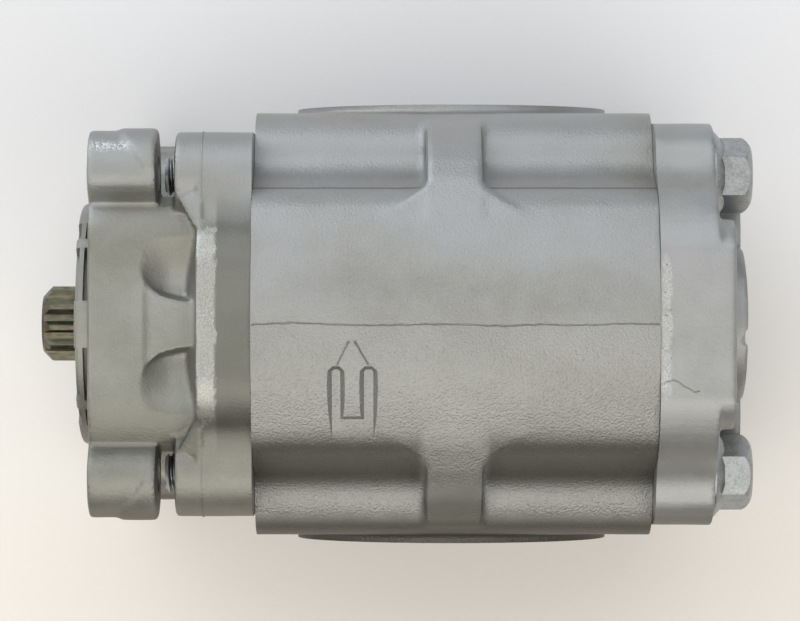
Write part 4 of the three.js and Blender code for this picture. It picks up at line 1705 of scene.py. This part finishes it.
@dataclass
class GearShafts:
    """The drive and idler shafts, each in one piece with its gear."""

    finishes: Finishes
    teeth: int = 12
    module: float = 3.5
    pressure: float = 25.0
    backlash: float = 0.3
    width: float = 35.0
    journal: float = 12.0
    seal_journal: float = 11.0
    spline_teeth: int = 11
    spline: Point2 = (9.3, 7.7)
    spline_turn: float = 5.5
    spline_chamfer: float = 2.2
    tip_chamfer: float = 0.35

    def flank(self) -> list[Point2]:
        """Works out one tooth flank.

        Returns:
            Points of radius and half angle, from the root to the tip.
        """
        pressure = math.radians(self.pressure)
        pitch = self.module * self.teeth / 2
        base = pitch * math.cos(pressure)
        tip = self.module * (self.teeth + 2) / 2
        half = (math.pi * self.module - self.backlash) / 4 / pitch

        def half_at(radius: float) -> float:
            """Half angle of the tooth at a radius."""
            angle = math.acos(min(1.0, base / radius))
            return half + math.tan(pressure) - pressure - (math.tan(angle) - angle)

        root = pitch - self.module * 1.14
        foot = half_at(base)
        low = [(root, foot + 0.035), (root + 0.2, foot + 0.012), (root + 0.5, foot)]
        return low + [(r, half_at(r)) for r in (base + (tip - base) * i / 9 for i in range(10))]

    def gear(self, first_tooth: float) -> Solid:
        """Draws a gear about the X axis.

        Args:
            first_tooth: angle of a tooth's centre, in degrees.

        Returns:
            The gear.
        """
        flank = self.flank()
        outline = []
        for tooth in range(self.teeth):
            centre = math.radians(first_tooth) + math.tau * tooth / self.teeth
            turns = [(r, centre - h) for r, h in flank] + [(r, centre + h) for r, h in reversed(flank)]
            outline += [(r * math.cos(a), r * math.sin(a)) for r, a in turns]
        low, high = Datum.body_middle - self.width / 2, Datum.body_middle + self.width / 2
        tip = self.module * (self.teeth + 2) / 2
        edge = self.tip_chamfer
        envelope = [
            (low, 0), (low, tip - edge), (low + edge, tip + 0.01),
            (high - edge, tip + 0.01), (high, tip - edge), (high, 0),
        ]
        return Solid.along_x(outline, low, high).common(Solid.turned(envelope, steps=144))

    def splined_end(self) -> Solid:
        """Draws the coupling spline with its chamfer and centre hole.

        Returns:
            The splined end.
        """
        outer, root = self.spline
        rising = [(root, 0.66), (root + 0.25, 0.56), (root + 0.8, 0.42), (outer - 0.15, 0.27), (outer, 0.22)]
        tooth_outline = [(radius, -share) for radius, share in rising] + [(outer, 0.0)]
        tooth_outline += rising[::-1]
        pitch = 360 / self.spline_teeth
        outline = []
        for tooth in range(self.spline_teeth):
            centre = 90 + self.spline_turn + 360 * tooth / self.spline_teeth
            for radius, share in tooth_outline:
                angle = math.radians(centre + share * pitch / 2)
                outline.append((radius * math.cos(angle), radius * math.sin(angle)))
        front, back, chamfer = Datum.shaft_front, Datum.seal_front - 2, self.spline_chamfer
        nose = [(front, 0), (front, outer - chamfer - 0.1), (front + 0.1, outer - chamfer)]
        sleeve = [(front + chamfer, outer + 0.02), (back, outer + 0.02), (back, 0)]
        drill = [(front - 1, 0), (front - 1, 3.6), (front + 1.6, 1.2), (front + 4, 1.2), (front + 4.6, 0)]
        drawn = Solid.along_x(outline, front, back).common(Solid.turned(nose + sleeve, steps=96))
        return drawn.cut(Solid.turned(drill))

    def build(self) -> list[bpy.types.Object]:
        """Makes both shafts.

        Returns:
            The pieces.
        """
        root = self.spline[1]
        seal, journal, back = Datum.seal_front, Datum.seal_back + 6, Datum.shaft_back
        front = Datum.shaft_front + 12
        drive = Solid.turned(
            [
                (front, 0), (front, root - 0.05), (seal - 2.5, root - 0.05),
                (seal - 1.5, self.seal_journal - 0.6),
                (seal - 0.5, self.seal_journal), (journal, self.seal_journal), (journal + 1, self.journal),
                (back - 1, self.journal), (back, self.journal - 1), (back, 0),
            ],
            steps=120,
        )
        drive.add(self.splined_end(), self.gear(-90)).moved(0, 0, Datum.gear)
        start = Datum.body_front + (Datum.body_back - back)
        idler = Solid.turned(
            [(start, 0), (start, self.journal - 1), (start + 1, self.journal), (back - 1, self.journal),
             (back, self.journal - 1), (back, 0)],
            steps=120,
        )
        idler.add(self.gear(90 + 180 / self.teeth)).moved(0, 0, -Datum.gear)
        pieces = [
            drive.piece("splined_drive_shaft", "drive", "oiled_steel", self.finishes["oiled_steel"]),
            idler.piece("idler_shaft", "idler", "ground_steel", self.finishes["ground_steel"]),
        ]
        for piece, node in zip(pieces, ("drive_gear_shaft", "idler_gear_shaft"), strict=True):
            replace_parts(piece, node)
        return pieces


@dataclass
class ShaftSeal:
    """The lip seal in the pilot's bore and the ring that holds it."""

    finishes: Finishes
    outer: float = 17.5
    lip: float = 11.3

    def build(self) -> list[bpy.types.Object]:
        """Makes the seal and its retaining ring.

        Returns:
            The pieces.
        """
        start, end = Datum.seal_front, Datum.seal_back
        profile = [
            (start, self.lip + 1.2), (start, self.outer - 0.6), (start + 0.6, self.outer), (end, self.outer),
            (end, self.outer - 1.6), (start + 2, self.outer - 1.6), (start + 2, self.lip + 2.2),
            (start + 6.6, self.lip + 1.7), (start + 6.6, self.lip + 0.6), (start + 4, self.lip),
            (start + 1.2, self.lip + 0.9),
        ]
        seal = Solid.turned(profile, 0, Datum.gear, 96)
        low, high = Datum.ring_front, Datum.ring_back
        gap, inner, outer = 16, 15.4, 18.6
        outline = [*arc(0, 0, outer, -90 + gap, 270 - gap, 96), *arc(0, 0, inner, 270 - gap, -90 + gap, 96)]
        ring = Solid.along_x(outline, low, high)
        eyes = [math.radians(-90 + s * (gap + 5.7)) for s in (-1, 1)]
        centres = [(inner * math.cos(a), inner * math.sin(a)) for a in eyes]
        ring.add(*(Solid.disc(y, z, 2.1, low, high, 32) for y, z in centres))
        ring.cut(*(Solid.disc(y, z, 0.9, low - 1, high + 1, 24) for y, z in centres)).moved(0, 0, Datum.gear)
        pieces = [
            seal.piece("lip_seal", "housing", "seal_rubber", self.finishes["seal_rubber"]),
            ring.piece("retaining_ring", "housing", "spring_steel", self.finishes["spring_steel"]),
        ]
        for piece, node in zip(pieces, ("shaft_seal", "seal_retaining_ring"), strict=True):
            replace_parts(piece, node)
        return pieces


def dress_inner_nodes(finishes: Finishes) -> None:
    """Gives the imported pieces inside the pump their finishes.

    Args:
        finishes: every finish, by slot.
    """
    slots = {row["node"]: row["material_slot"] for row in frame["record"]["subparts"]}
    for node, obj in frame["nodes"].items():
        if obj.hide_render:
            continue
        obj.data.materials.clear()
        obj.data.materials.append(finishes[slots[node]])
        LOG.info("%s: dressed in %s", node, slots[node])


# ---- Studio ----
@dataclass
class Studio:
    """Pale bench, two wide ceiling lights, a window, weak side lights, and the camera over the pump."""

    camera_place: Point3 = (1.2, 3.3, 936.0)
    lens: float = 153.8
    bench_half: float = 1.6
    aim: Point3 = (0, 0, 0.05)
    room_colour: Point3 = (0.9, 0.93, 1.0)
    room_strength: float = 0.05
    lamps: tuple[tuple[str, Point3, Point2, float, Point3], ...] = (
        ("near ceiling", (-0.1, -1.05, 1.9), (3.8, 2.2), 53, (1.0, 0.98, 0.93)),
        ("far ceiling", (-0.2, 1.3, 1.8), (3.8, 2.3), 42, (0.94, 0.97, 1.0)),
        ("window", (-1.3, 2.1, 0.7), (2.8, 1.1), 27, (0.86, 0.93, 1.0)),
        ("rear side", (2.3, 0.2, 0.8), (2.4, 1.2), 10, (1.0, 0.99, 0.97)),
        ("front side", (-2.3, 0.1, 0.9), (2.4, 1.2), 8, (1.0, 0.99, 0.97)),
    )

    def bench(self) -> None:
        """The matt bench top, with painted light making its −Y side paler and warmer."""
        s = Shader("bench top")
        cloud = s.noise(260, 3)
        fine = s.noise(1.2, 3)
        scuff = s.noise(14, 4, (6, 1, 1), 0.7).step(0.66, 0.80)
        # painted light: the bench grows paler and warmer beyond the pump's −Y side, as if more light fell there
        painted_light_side = s.y.step(0.10, -0.10)
        colour = s.mix(painted_light_side, (0.78, 0.775, 0.785), (0.86, 0.80, 0.73))
        colour = s.mix(cloud.step(0.3, 0.7) * 0.25, colour, (0.60, 0.59, 0.58))
        colour = s.mix(scuff * 0.25, colour, (0.80, 0.80, 0.80))
        material = s.finish(colour, 0.62 + fine * 0.1, s.bump(fine, 0.01), 0.0, Specular_IOR_Level=0.3)
        bm = bmesh.new()
        bmesh.ops.create_grid(bm, x_segments=8, y_segments=8, size=self.bench_half)
        mesh = bpy.data.meshes.new("bench")
        bm.to_mesh(mesh)
        bm.free()
        bench = bpy.data.objects.new("bench", mesh)
        bench.location.z = -0.0002
        mesh.materials.append(material)
        bpy.context.scene.collection.objects.link(bench)

    def light(self, name: str, place: Point3, size: Point2, power: float, colour: Point3) -> None:
        """One soft rectangular light that faces the pump.

        Args:
            name: the light's name.
            place: its middle, in metres.
            size: its two sides, in metres.
            power: watts.
            colour: its tint.
        """
        data = bpy.data.lights.new(name, "AREA")
        data.shape = "RECTANGLE"
        data.size, data.size_y = size
        data.energy = power
        data.color = colour
        lamp = bpy.data.objects.new(name, data)
        lamp.location = place
        lamp.rotation_euler = (Vector(self.aim) - Vector(place)).to_track_quat("-Z", "Y").to_euler()
        bpy.context.scene.collection.objects.link(lamp)

    def build(self) -> None:
        """Sets the stage."""
        self.bench()
        for lamp in self.lamps:
            self.light(*lamp)
        world = bpy.data.worlds.new("room")
        world.use_nodes = True
        background = world.node_tree.nodes["Background"]
        background.inputs["Color"].default_value = (*self.room_colour, 1.0)
        background.inputs["Strength"].default_value = self.room_strength
        scene = bpy.context.scene
        scene.world = world
        scene.view_settings.view_transform = "Standard"
        data = bpy.data.cameras.new("camera")
        data.lens = self.lens
        data.sensor_width = 36.0
        data.clip_start, data.clip_end = 0.05, 20.0
        camera = bpy.data.objects.new("camera", data)
        camera.location = Vector(self.camera_place) * MM
        scene.collection.objects.link(camera)
        scene.camera = camera


def main() -> None:
    """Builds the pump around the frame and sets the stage."""
    logging.basicConfig(level=logging.INFO, format="%(name)s %(message)s")
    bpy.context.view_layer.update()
    finishes = Finishes()
    PumpBody(finishes).build()
    RearCover(finishes).build()
    FrontCover(finishes).build()
    CoverBolts(finishes).build()
    GearShafts(finishes).build()
    ShaftSeal(finishes).build()
    dress_inner_nodes(finishes)
    Studio().build()


if __name__ == "__main__":
    main()
